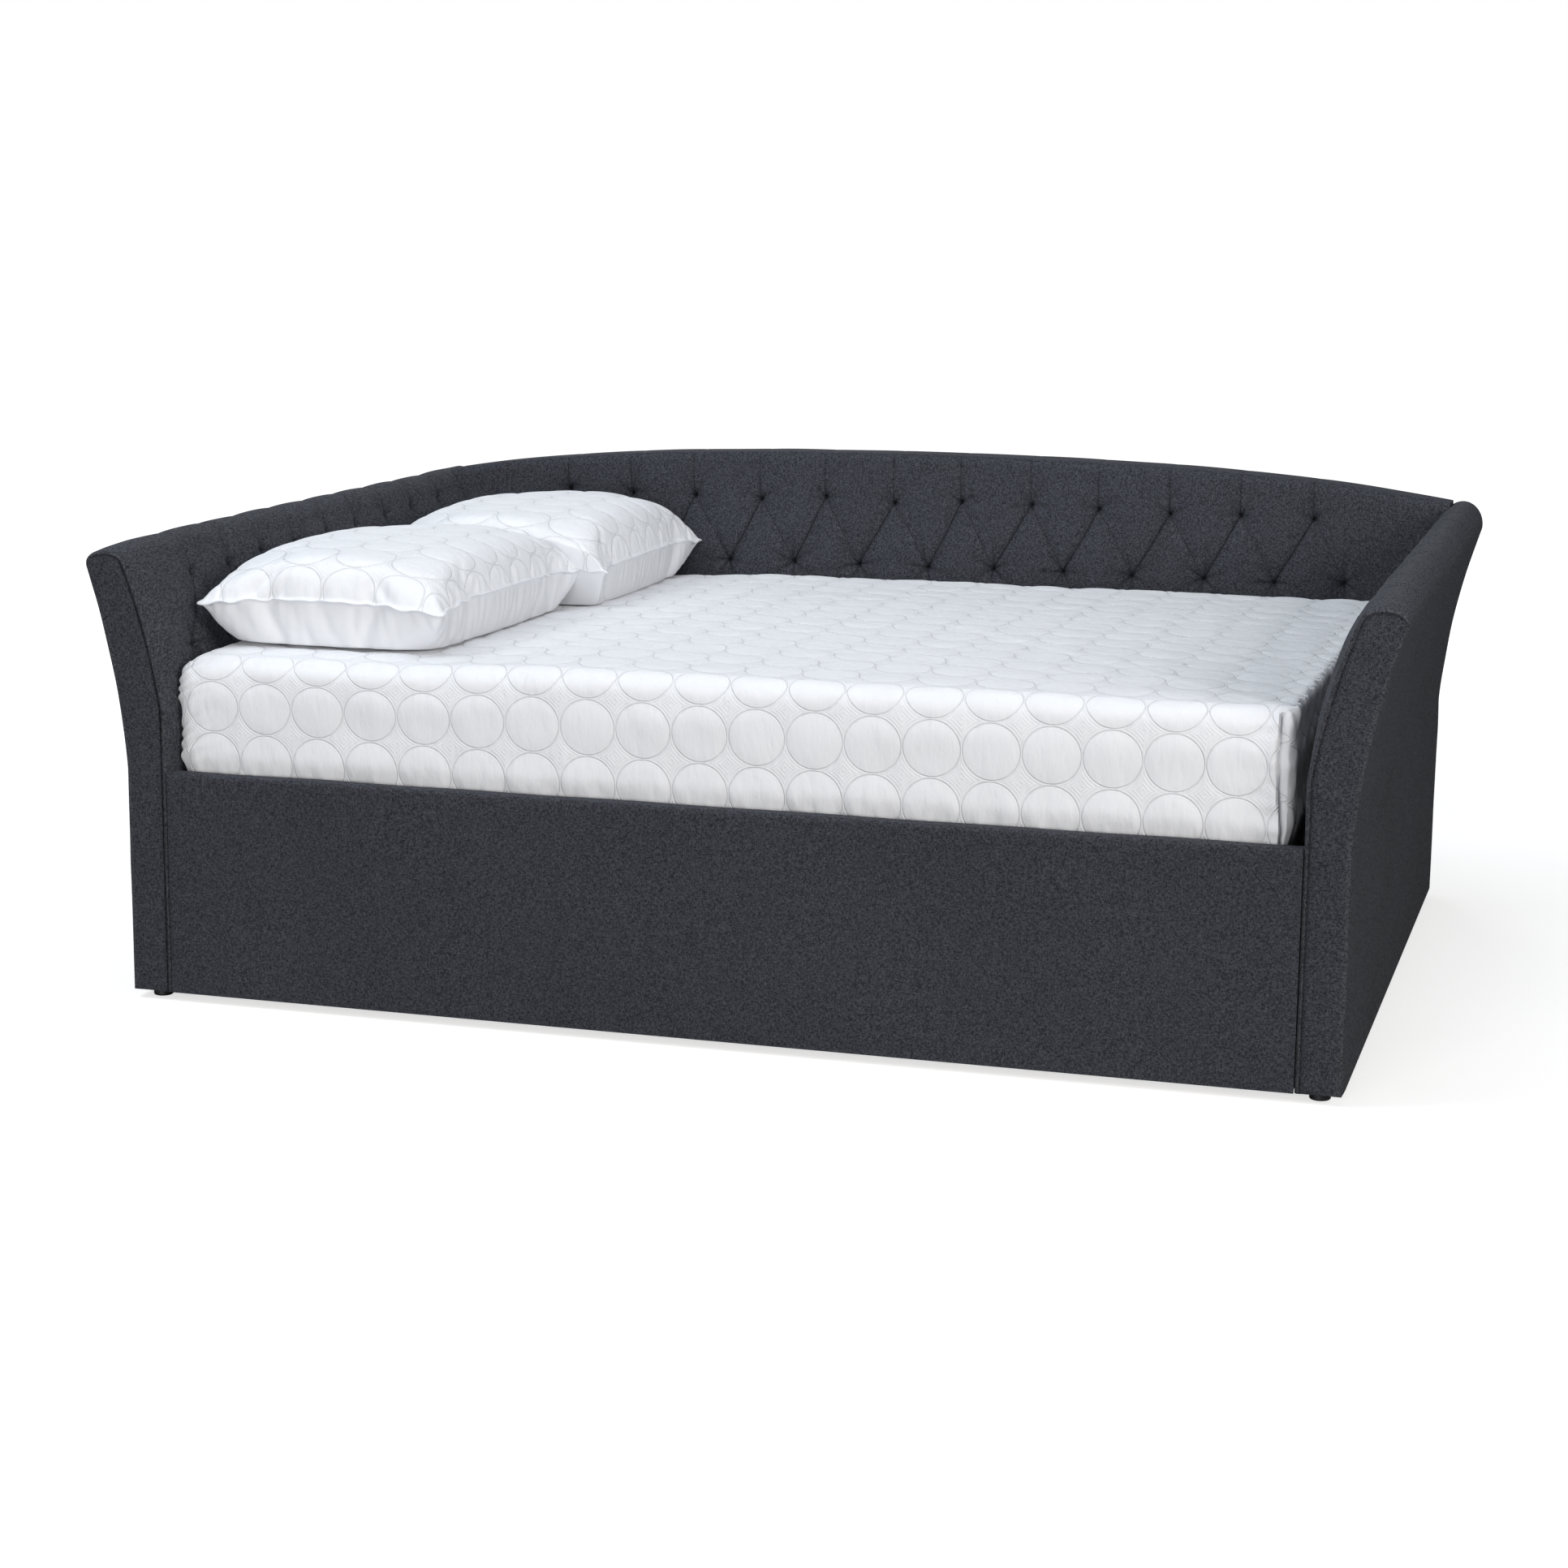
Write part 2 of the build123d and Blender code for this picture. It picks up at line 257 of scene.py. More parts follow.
def arc_through(start: tuple, middle: tuple, end: tuple, count: int) -> np.ndarray:
    """Points on the circle arc through three points of a plane.

    Args:
        start: First point.
        middle: Point on the way.
        end: Last point.
        count: How many points to return, ends included.

    Returns:
        Array of shape (count, 2).
    """
    (ax, ay), (bx, by), (cx, cy) = start, middle, end
    cross = 2 * (ax * (by - cy) + bx * (cy - ay) + cx * (ay - by))
    a2, b2, c2 = ax * ax + ay * ay, bx * bx + by * by, cx * cx + cy * cy
    ox = (a2 * (by - cy) + b2 * (cy - ay) + c2 * (ay - by)) / cross
    oy = (a2 * (cx - bx) + b2 * (ax - cx) + c2 * (bx - ax)) / cross
    radius = math.hypot(ax - ox, ay - oy)
    first = math.atan2(ay - oy, ax - ox)
    swing = (math.atan2(cy - oy, cx - ox) - first) % (2 * math.pi)
    through = (math.atan2(by - oy, bx - ox) - first) % (2 * math.pi)
    if through > swing:
        swing -= 2 * math.pi
    turn = first + np.linspace(0, swing, count)
    return np.column_stack([ox + radius * np.cos(turn), oy + radius * np.sin(turn)])


def straight(start: tuple, end: tuple, count: int) -> np.ndarray:
    """Evenly spaced points from start to end, both included."""
    return np.linspace(np.array(start, float), np.array(end, float), count)


def step(value: np.ndarray, low: float, high: float) -> np.ndarray:
    """Smooth rise from 0 at low to 1 at high."""
    t = np.clip((value - low) / (high - low), 0.0, 1.0)
    return t * t * (3 - 2 * t)


def wander(a: np.ndarray, b: np.ndarray, length: float, seed: int) -> np.ndarray:
    """Soft even unruliness, as cloth has, between about -1 and 1.

    Args:
        a: First coordinate, in metres.
        b: Second coordinate, in metres.
        length: Typical distance between ripples, in metres.
        seed: Seed of the fixed random draw.

    Returns:
        One value per point.
    """
    draw = np.random.default_rng(seed)
    total = np.zeros_like(a)
    waves = 9
    for _ in range(waves):
        angle = draw.uniform(0, 2 * math.pi)
        wave = length * draw.uniform(0.6, 1.6)
        phase = draw.uniform(0, 2 * math.pi)
        total += np.sin(2 * math.pi * (a * math.cos(angle) + b * math.sin(angle)) / wave + phase)
    return total / math.sqrt(waves * 2)


# ---------------------------------------------------------------- finishes


class NodeSheet:
    """Short-hand for building one material's node tree."""

    def __init__(self, name: str) -> None:
        """Start a material with one Principled shader.

        Args:
            name: Material name.
        """
        self.material = bpy.data.materials.new(name)
        self.material.use_nodes = True
        self.tree = self.material.node_tree
        self.shader = self.tree.nodes["Principled BSDF"]

    def add(self, kind: str, inputs: dict | None = None, **settings: object) -> bpy.types.Node:
        """Add a node.

        Args:
            kind: Node type without its ShaderNode prefix.
            inputs: Socket name or index to a value, or to an output socket to link.
            **settings: Properties of the node.

        Returns:
            The new node.
        """
        node = self.tree.nodes.new("ShaderNode" + kind)
        for name, value in settings.items():
            setattr(node, name, value)
        for key, value in (inputs or {}).items():
            self.put(node.inputs[key], value)
        return node

    def put(self, socket: bpy.types.NodeSocket, value: object) -> None:
        """Set a socket to a value, or link it to an output."""
        if isinstance(value, bpy.types.NodeSocket):
            self.tree.links.new(value, socket)
        else:
            socket.default_value = value

    def math(self, operation: str, *values: object) -> bpy.types.NodeSocket:
        """Add a math node and return its output."""
        return self.add("Math", dict(enumerate(values)), operation=operation).outputs[0]

    def times(self, *values: object) -> bpy.types.NodeSocket:
        """Product of two or more values."""
        product = values[0]
        for value in values[1:]:
            product = self.math("MULTIPLY", product, value)
        return product

    def place(self, scale: tuple = (1.0, 1.0, 1.0)) -> bpy.types.NodeSocket:
        """Object coordinates, stretched by a scale on each axis."""
        coordinates = self.add("TexCoord").outputs["Object"]
        return self.add("Mapping", {"Vector": coordinates, "Scale": scale}).outputs[0]

    def noise(self, scale: float, detail: float = 3.0,
              stretch: tuple = (1.0, 1.0, 1.0)) -> bpy.types.NodeSocket:
        """Noise value on object coordinates."""
        inputs = {"Vector": self.place(stretch), "Scale": scale, "Detail": detail}
        return self.add("TexNoise", inputs).outputs[0]

    def ramp(self, value: bpy.types.NodeSocket, *stops: tuple[float, tuple]) -> bpy.types.NodeSocket:
        """Colour ramp through the given (position, rgb) stops."""
        node = self.add("ValToRGB", {"Fac": value})
        elements = node.color_ramp.elements
        for index, (position, colour) in enumerate(stops):
            element = elements[index] if index < 2 else elements.new(position)
            element.position = position
            element.color = (*colour, 1.0)
        return node.outputs["Color"]

    def blend(self, share: object, first: object, second: object, mode: str = "MIX") -> bpy.types.NodeSocket:
        """Mix two colours."""
        node = self.add("Mix", data_type="RGBA", blend_type=mode)
        self.put(node.inputs[0], share)
        self.put(node.inputs[6], first)
        self.put(node.inputs[7], second)
        return node.outputs[2]

    def bump(self, height: bpy.types.NodeSocket, distance: float, strength: float = 1.0,
             under: bpy.types.NodeSocket | None = None) -> bpy.types.NodeSocket:
        """Bump node of a height, over another normal if one is given."""
        inputs = {"Height": height, "Distance": distance, "Strength": strength}
        if under is not None:
            inputs["Normal"] = under
        return self.add("Bump", inputs).outputs[0]

    def shade(self, **values: object) -> bpy.types.Material:
        """Set the shader's sockets, with underscores for spaces, and return the material."""
        for name, value in values.items():
            self.put(self.shader.inputs[name.replace("_", " ")], value)
        return self.material


@dataclass(frozen=True)
class HeatheredLinen:
    """Charcoal upholstery cloth: two greys of yarn spun together in an open plain weave."""

    dark: tuple = (0.0182, 0.0195, 0.0238)
    light: tuple = (0.0710, 0.0735, 0.0870)
    yarn_scale: float = 560.0
    slub: float = 0.30
    lengthwise: float = 0.32
    # Set for tufted pads: paints shade into the pleats' creases and the ties' pits.
    tufted: bool = False
    # Set for a facing: paints a shadow along its sewn rim, seam_width wide.
    seam_shadowed: bool = False
    tuft_columns: float = 12.0
    pitch: float = 0.152
    rise: float = 0.138
    map_name: str = "tufts"
    seam_width: float = 1.6 * MM
    strong_line: float = 1.7 * MM
    faint_line: float = 1.3 * MM
    upright_line: float = 1.5 * MM
    spot: float = 6.2 * MM
    creases: float = 6.0
    crease_reach: float = 28 * MM

    def material(self) -> bpy.types.Material:
        """Build the cloth's material."""
        kind = "tufted" if self.tufted else "seam_shadowed" if self.seam_shadowed else "heathered"
        sheet = NodeSheet(f"{kind}_linen")
        warp = sheet.noise(self.yarn_scale, 2.0, (1.0, self.lengthwise, self.slub))
        weft = sheet.noise(self.yarn_scale, 2.0, (self.slub, self.lengthwise, 1.0))
        fleck = sheet.noise(self.yarn_scale * 0.6, 2.0, (1.0, self.lengthwise, 1.0))
        yarns = sheet.math("ADD", warp, weft)
        mixed = sheet.times(sheet.math("ADD", yarns, fleck), 0.3333)
        colour = sheet.ramp(mixed, (0.41, self.dark), (0.61, self.light))
        cloud = sheet.noise(3.1, 3.0)
        shade = sheet.ramp(cloud, (0.3, (0.90, 0.90, 0.90)), (0.7, (1.0, 1.0, 1.02)))
        toned = sheet.blend(1.0, colour, shade, "MULTIPLY")
        rough = sheet.math("MULTIPLY_ADD", mixed, -0.15, 1.0)
        normal = sheet.bump(yarns, 0.0010, 0.6)
        if self.tufted:
            painted_fold_shade = self.painted_fold_shade(sheet)
            # Painted shade: the colour darkens to near black in the pleats' creases and the ties' pits.
            toned = sheet.blend(sheet.times(painted_fold_shade, 0.85), toned, (0.004, 0.004, 0.005, 1.0))
            normal = sheet.bump(sheet.times(painted_fold_shade, -1.0), 0.0012, 0.7, normal)
        if self.seam_shadowed:
            rim = sheet.add("SeparateXYZ", {0: sheet.add("UVMap", uv_map="rim").outputs[0]}).outputs[0]
            shadow = sheet.math("EXPONENT", sheet.times(rim, -1 / self.seam_width))
            # Painted shadow: the colour darkens to near black along the facing's sewn rim.
            toned = sheet.blend(sheet.times(shadow, 0.55), toned, (0.003, 0.003, 0.004, 1.0))
        return sheet.shade(
            Base_Color=toned, Roughness=rough, Normal=normal,
            Sheen_Weight=0.04, Sheen_Roughness=0.45, Sheen_Tint=(0.80, 0.87, 1.0, 1.0),
            Specular_IOR_Level=0.08,
        )

    def painted_fold_shade(self, sheet: NodeSheet) -> bpy.types.NodeSocket:
        """Painted shade in the creases of the pleats and in the pits and wrinkles of the ties, read from the
        piece's own tuft map.

        Args:
            sheet: The material being built.

        Returns:
            Share of painted shade, from 0 to 1.
        """
        flat = sheet.add("SeparateXYZ", {0: sheet.add("UVMap", uv_map=self.map_name).outputs[0]})
        p, q = flat.outputs[0], flat.outputs[1]

        def line(place: bpy.types.NodeSocket, shift: float, width: float) -> bpy.types.NodeSocket:
            """Thin line at every whole number of a value, shifted."""
            cell = sheet.math("FRACT", sheet.math("ADD", place, 0.5 + shift))
            away = sheet.math("ABSOLUTE", sheet.math("SUBTRACT", cell, 0.5))
            return sheet.math("EXPONENT", sheet.times(away, -self.pitch / width))

        def between(value: bpy.types.NodeSocket, low: float, high: float) -> bpy.types.NodeSocket:
            """1 where a value lies between two others."""
            return sheet.times(sheet.math("GREATER_THAN", value, low), sheet.math("LESS_THAN", value, high))

        half_q = sheet.times(q, 0.5)
        columns = self.tuft_columns
        strong = line(sheet.math("SUBTRACT", p, half_q), 0.0, self.strong_line)
        faint = sheet.times(line(sheet.math("ADD", p, half_q), 0.0, self.faint_line), 0.50)
        diagonal = sheet.math("MAXIMUM", strong, faint)
        crossing = sheet.times(diagonal, between(q, -0.02, 1.02), between(p, -0.02, columns + 0.02))
        past_ties = sheet.math("ABSOLUTE", sheet.math("SUBTRACT", q, 1.0))
        fade = sheet.math("EXPONENT", sheet.times(past_ties, -0.9))
        above = sheet.times(line(p, 0.5, self.upright_line), fade, between(q, 1.0, 4.0), 0.9)
        above = sheet.times(above, between(p, 0.2, columns - 0.2))
        below = sheet.times(line(p, 0.0, self.faint_line), between(q, -0.6, 0.0), 0.5)
        below = sheet.times(below, between(p, -0.3, columns + 0.3))
        total = sheet.math("MAXIMUM", crossing, sheet.math("MAXIMUM", above, below))
        ties = ((0.5, 1.0, 0.2, columns - 0.2, 0.5), (0.0, 0.0, -0.3, columns + 0.3, 1.0))
        # Painted shade in each tie's pit and in the wrinkles that ray out of it.
        for shift, level, low, high, creased in ties:
            cell = sheet.math("FRACT", sheet.math("ADD", p, 0.5 + shift))
            across = sheet.times(sheet.math("SUBTRACT", cell, 0.5), self.pitch)
            rise = sheet.times(sheet.math("SUBTRACT", q, level), self.rise)
            far = sheet.math("ADD", sheet.math("POWER", across, 2.0), sheet.math("POWER", rise, 2.0))
            spot = sheet.math("EXPONENT", sheet.times(far, -1 / self.spot ** 2))
            number = sheet.math("FLOOR", sheet.math("ADD", p, 0.5 + shift))
            start = sheet.times(number, 2.3)
            turn = sheet.math("MULTIPLY_ADD", sheet.math("ARCTAN2", rise, across), self.creases, start)
            rays = sheet.math("POWER", sheet.math("MULTIPLY_ADD", sheet.math("COSINE", turn), 0.5, 0.5), 3.0)
            reach = sheet.math("EXPONENT", sheet.times(sheet.math("SQRT", far), -1 / self.crease_reach))
            star = sheet.times(rays, reach, creased)
            mark = sheet.times(sheet.math("MAXIMUM", spot, star), between(p, low, high))
            total = sheet.math("MAXIMUM", total, mark)
        return total


@dataclass(frozen=True)
class QuiltedCotton:
    """White cotton, stitched in touching rings with nested lines in the gaps between them."""

    colour: tuple = (0.785, 0.795, 0.825)
    ring: float = 0.485
    line_pitch: float = 0.052
    map_name: str = "quilt"

    def material(self) -> bpy.types.Material:
        """Build the quilted material, which reads the piece's own quilt map."""
        sheet = NodeSheet("quilted_cotton")
        flat = sheet.add("UVMap", uv_map=self.map_name).outputs[0]
        cell = sheet.add("VectorMath", {0: flat}, operation="FRACTION").outputs[0]
        middle = sheet.add("VectorMath", {0: cell, 1: (0.5, 0.5, 0.0)}, operation="SUBTRACT").outputs[0]
        reach = sheet.add("VectorMath", {0: middle}, operation="LENGTH").outputs["Value"]
        lines_in = sheet.math("DIVIDE", sheet.math("SUBTRACT", reach, self.ring), self.line_pitch)
        wave = sheet.math("COSINE", sheet.times(lines_in, 2 * math.pi))
        groove = sheet.math("POWER", sheet.math("MULTIPLY_ADD", wave, 0.5, 0.5), 2.0)
        outside = sheet.math("GREATER_THAN", lines_in, -0.5)
        first = sheet.math("LESS_THAN", lines_in, 0.5)
        weight = sheet.math("MULTIPLY_ADD", first, 0.7, 0.3)
        stitched = sheet.times(groove, outside, weight)
        creases = sheet.noise(34.0, 4.0, (1.0, 1.0, 0.35))
        weave = sheet.noise(1400.0, 1.0)
        quilting = sheet.bump(sheet.times(stitched, -1.0), 0.0017, 0.8)
        wrinkles = sheet.noise(85.0, 3.0, (1.0, 1.0, 0.3))
        creased = sheet.bump(wrinkles, 0.003, 0.45, sheet.bump(creases, 0.006, 0.55, quilting))
        normal = sheet.bump(weave, 0.0003, 0.4, creased)
        # Painted shade: the white greys along each ring's stitch groove.
        ring_groove_shade = sheet.times(stitched, first, 0.10)
        groove_shaded_colour = sheet.blend(ring_groove_shade, (*self.colour, 1.0), (0.62, 0.64, 0.68, 1.0))
        rough = sheet.math("MULTIPLY_ADD", weave, 0.12, 0.72)
        return sheet.shade(
            Base_Color=groove_shaded_colour, Roughness=rough, Normal=normal,
            Sheen_Weight=0.15, Sheen_Roughness=0.4, Specular_IOR_Level=0.3,
        )


@dataclass(frozen=True)
class PlainCotton:
    """Smooth white cotton of the undersides and seams of the pillows."""

    colour: tuple = (0.75, 0.76, 0.79)

    def material(self) -> bpy.types.Material:
        """Build the plain cotton."""
        sheet = NodeSheet("plain_cotton")
        creases = sheet.noise(26.0, 4.0, (1.0, 0.4, 1.0))
        weave = sheet.noise(1500.0, 1.0)
        normal = sheet.bump(weave, 0.0002, 0.4, sheet.bump(creases, 0.006, 0.3))
        tone = sheet.ramp(weave, (0.2, tuple(0.95 * c for c in self.colour)), (0.8, self.colour))
        rough = sheet.math("MULTIPLY_ADD", weave, 0.12, 0.7)
        return sheet.shade(
            Base_Color=tone, Roughness=rough, Normal=normal,
            Sheen_Weight=0.12, Sheen_Roughness=0.4, Specular_IOR_Level=0.3,
        )


@dataclass(frozen=True)
class SawnWood:
    """Pine or plywood with its grain along one axis."""

    name: str
    pale: tuple = (0.62, 0.46, 0.28)
    dark: tuple = (0.40, 0.26, 0.13)
    along: tuple = (1.0, 14.0, 14.0)

    def material(self) -> bpy.types.Material:
        """Build the wood."""
        sheet = NodeSheet(self.name)
        rings = sheet.noise(6.0, 6.0, self.along)
        pores = sheet.noise(60.0, 3.0, self.along)
        grain = sheet.math("MULTIPLY_ADD", pores, 0.35, rings)
        colour = sheet.ramp(grain, (0.5, self.dark), (0.85, self.pale))
        rough = sheet.math("MULTIPLY_ADD", pores, 0.25, 0.5)
        return sheet.shade(Base_Color=colour, Roughness=rough, Normal=sheet.bump(grain, 0.001, 0.4))


@dataclass(frozen=True)
class CutFoam:
    """Open-cell upholstery foam."""

    colour: tuple = (0.80, 0.74, 0.55)

    def material(self) -> bpy.types.Material:
        """Build the foam."""
        sheet = NodeSheet("cut_foam")
        cells = sheet.add("TexVoronoi", {"Vector": sheet.place(), "Scale": 700.0}).outputs["Distance"]
        dark = tuple(0.75 * c for c in self.colour)
        colour = sheet.ramp(cells, (0.1, dark), (0.7, self.colour))
        rough = sheet.math("MULTIPLY_ADD", cells, 0.1, 0.88)
        return sheet.shade(Base_Color=colour, Roughness=rough, Normal=sheet.bump(cells, 0.0008, 0.6))


@dataclass(frozen=True)
class MouldedPlastic:
    """Black moulded glide."""

    def material(self) -> bpy.types.Material:
        """Build the plastic."""
        sheet = NodeSheet("moulded_plastic")
        grit = sheet.noise(900.0, 2.0)
        colour = sheet.ramp(grit, (0.3, (0.008, 0.008, 0.009)), (0.8, (0.02, 0.02, 0.022)))
        rough = sheet.math("MULTIPLY_ADD", grit, 0.2, 0.35)
        return sheet.shade(Base_Color=colour, Roughness=rough, Normal=sheet.bump(grit, 0.0002, 0.4))


@dataclass(frozen=True)
class ZincSteel:
    """Zinc-plated steel of brackets, bolts and screws."""

    def material(self) -> bpy.types.Material:
        """Build the steel."""
        sheet = NodeSheet("zinc_steel")
        spangle = sheet.noise(220.0, 3.0)
        colour = sheet.ramp(spangle, (0.3, (0.46, 0.46, 0.47)), (0.75, (0.66, 0.66, 0.65)))
        rough = sheet.math("MULTIPLY_ADD", spangle, 0.25, 0.25)
        return sheet.shade(
            Base_Color=colour, Roughness=rough, Metallic=1.0, Normal=sheet.bump(spangle, 0.0002, 0.3)
        )


# ---------------------------------------------------------------- tufting


@dataclass(frozen=True)
class Fan:
    """Short wrinkles that ray out of a tie; the two angles are in degrees."""

    middle: float
    spread: float
    count: int
    length: float
    depth: float

    def rays(self, draw: np.random.Generator) -> list[tuple[float, float, float]]:
        """Draw the fan's wrinkles.

        Args:
            draw: Seeded random generator.

        Returns:
            One (angle, length, depth) for each wrinkle.
        """
        rays = []
        for index in range(self.count):
            share = index / max(self.count - 1, 1) - 0.5
            angle = self.middle + self.spread * share + draw.uniform(-6, 6)
            length = self.length * draw.uniform(0.6, 1.3)
            rays.append((math.radians(angle), length, self.depth * draw.uniform(0.6, 1.2)))
        return rays


UPPER_FANS = (Fan(172, 45, 3, 20 * MM, 3.4 * MM), Fan(26, 34, 2, 26 * MM, 2.6 * MM))
LOWER_FANS = (Fan(252, 130, 8, 30 * MM, 5.5 * MM), Fan(14, 50, 3, 22 * MM, 3.4 * MM))


@dataclass
class Tufting:
    """Diamond tufting: two rows of ties that draw the cloth in, with pleats between them.

    The lower row stands half a pitch to each side of the upper one. Pattern coordinates count
    pitches along the pad (whole numbers at the lower ties) and rows up it (0 and 1 at the ties).
    """

    upper: list[tuple[float, float]]
    lower: list[tuple[float, float]]
    seed: int
    valley: float = 6.0 * MM
    crease: float = 3.0 * MM
    above_valley: float = 2.2 * MM
    above_crease: float = 2.0 * MM
    spread: float = 20 * MM
    pit: float = 13 * MM
    pit_spread: float = 20 * MM
    navel: float = 7 * MM
    bow: float = 0.030
    reach_above: float = 9.0
    navel_radius: float = 6 * MM
    ray_width: float = 2.8 * MM
    tie_reach: float = 0.09
    wrinkles: list[list[tuple[float, float, float]]] = field(default_factory=list)

    def __post_init__(self) -> None:
        """Measure the pitch and the rise, and draw each tie's wrinkles."""
        self.pitch = (self.upper[-1][0] - self.upper[0][0]) / (len(self.upper) - 1)
        self.rise = float(np.mean([b for _, b in self.upper]) - np.mean([b for _, b in self.lower]))
        draw = np.random.default_rng(self.seed)
        for ties, fans in ((self.upper, UPPER_FANS), (self.lower, LOWER_FANS)):
            for _ in ties:
                self.wrinkles.append([ray for fan in fans for ray in fan.rays(draw)])

    def pattern(self, a: np.ndarray, b: np.ndarray) -> tuple[np.ndarray, np.ndarray]:
        """Pattern coordinates of points on the pad.

        Args:
            a: Distance along the pad.
            b: Distance up the pad.

        Returns:
            Pitches along and rows up.
        """
        rows = []
        for ties, first in ((self.lower, 0.0), (self.upper, 0.5)):
            along = np.array([tie[0] for tie in ties])
            level = np.array([tie[1] for tie in ties])
            steps = np.arange(len(ties)) + first
            ends = (along[0] - 4 * self.pitch, along[-1] + 4 * self.pitch)
            place = np.interp(a, [ends[0], *along, ends[1]], [steps[0] - 4, *steps, steps[-1] + 4])
            rows.append((place, np.interp(a, along, level)))
        (low_place, low_level), (high_place, high_level) = rows
        q = (b - low_level) / (high_level - low_level)
        share = np.clip(q, 0, 1)
        bow = self.bow * np.sin(math.pi * share) * (0.7 + 0.3 * np.sin(low_place * 2.3))
        return low_place * (1 - share) + high_place * share - bow, q

    def depth(self, a: np.ndarray, b: np.ndarray) -> np.ndarray:
        """How far the tufting draws the cloth in at each point.

        Args:
            a: Distance along the pad, in metres.
            b: Distance up the pad, in metres.

        Returns:
            Depth below the puffed surface, in metres.
        """
        p, q = self.pattern(a, b)
        last = len(self.lower) - 1.0
        lean = self.rise / math.hypot(self.rise, self.pitch / 2)

        def off(value: np.ndarray) -> np.ndarray:
            """Signed distance to the nearest whole number, in metres."""
            return ((value + 0.5) % 1.0 - 0.5) * self.pitch

        def fold(away: np.ndarray, valley: float, crease: float) -> np.ndarray:
            """Pleat profile: a broad valley with a crease that is steeper on one side."""
            width = np.where(away > 0, 7 * MM, 2.8 * MM)
            return valley * np.exp(-np.abs(away) / self.spread) + crease * np.exp(-np.abs(away) / width)

        inside = step(p, -0.10, 0.02) * step(last - p, -0.10, 0.02)
        past = np.maximum(np.maximum(q - 1, -q), 0) * self.rise
        crossing = inside * np.exp(-((past / (12 * MM)) ** 2))
        strong = fold(off(p - 0.5 * q) * lean, self.valley, self.crease) * crossing
        faint = fold(-off(p + 0.5 * q) * lean, self.valley * 0.75, self.crease * 0.5) * crossing
        over = step(q, 0.92, 1.05) * step(p, 0.1, 0.3) * step(last - p, 0.1, 0.3)
        over = over * np.exp(-np.maximum(q - 1, 0) / self.reach_above)
        above = fold(off(p + 0.5), self.above_valley, self.above_crease) * over
        below = step(-q, -0.08, 0.05) * np.exp(-np.maximum(-q, 0) * 1.6)
        below = below * step(p, -0.4, -0.2) * step(last - p, -0.4, -0.2)
        under = fold(off(p), self.valley * 0.7, self.crease * 0.5) * below
        drawn = np.maximum.reduce([strong, faint, above, under])

        pits, lines = np.zeros_like(a), np.zeros_like(a)
        for (ta, tb), rays in zip([*self.upper, *self.lower], self.wrinkles):
            near = (np.abs(a - ta) < self.tie_reach) & (np.abs(b - tb) < self.tie_reach)
            da, db = a[near] - ta, b[near] - tb
            reach = np.hypot(da, db)
            pull = self.pit * np.exp(-reach / self.pit_spread)
            pull += self.navel * np.exp(-((reach / self.navel_radius) ** 2))
            pits[near] = np.maximum(pits[near], pull)
            turn = np.arctan2(db, da)
            for angle, length, deep in rays:
                swing = np.abs((turn - angle + math.pi) % (2 * math.pi) - math.pi)
                across = reach * np.sin(np.minimum(swing, math.pi / 2))
                ray = deep * np.exp(-((across / self.ray_width) ** 2)) * np.exp(-reach / length)
                ray *= (1 - np.exp(-reach / self.navel_radius)) * (swing < math.pi / 2)
                lines[near] = np.maximum(lines[near], ray)
        return drawn + pits + lines

    def map_on(self, piece: bpy.types.Object, a: np.ndarray, b: np.ndarray) -> None:
        """Store the pattern coordinates as the piece's tuft map.

        Args:
            piece: The pad, before its vertices are welded.
            a: Distance along the pad of each vertex.
            b: Distance up the pad of each vertex.
        """
        clear_maps(piece.data)
        pattern = np.column_stack(self.pattern(a, b))
        store_map(piece.data, "tufts", pattern[corner_vertices(piece.data)])


def scatter(draw: np.random.Generator, place: float, height: float, up: float) -> tuple[float, float]:
    """Shift a tie a little off its even place.

    Args:
        draw: Seeded random generator.
        place: Even place along the pad.
        height: Even place up the pad.
        up: Largest shift up or down; along the pad it is 4 mm.

    Returns:
        The shifted place, along and up.
    """
    along = 4 * MM
    return place + draw.uniform(-along, along), height + draw.uniform(-up, up)


# ---------------------------------------------------------------- arms


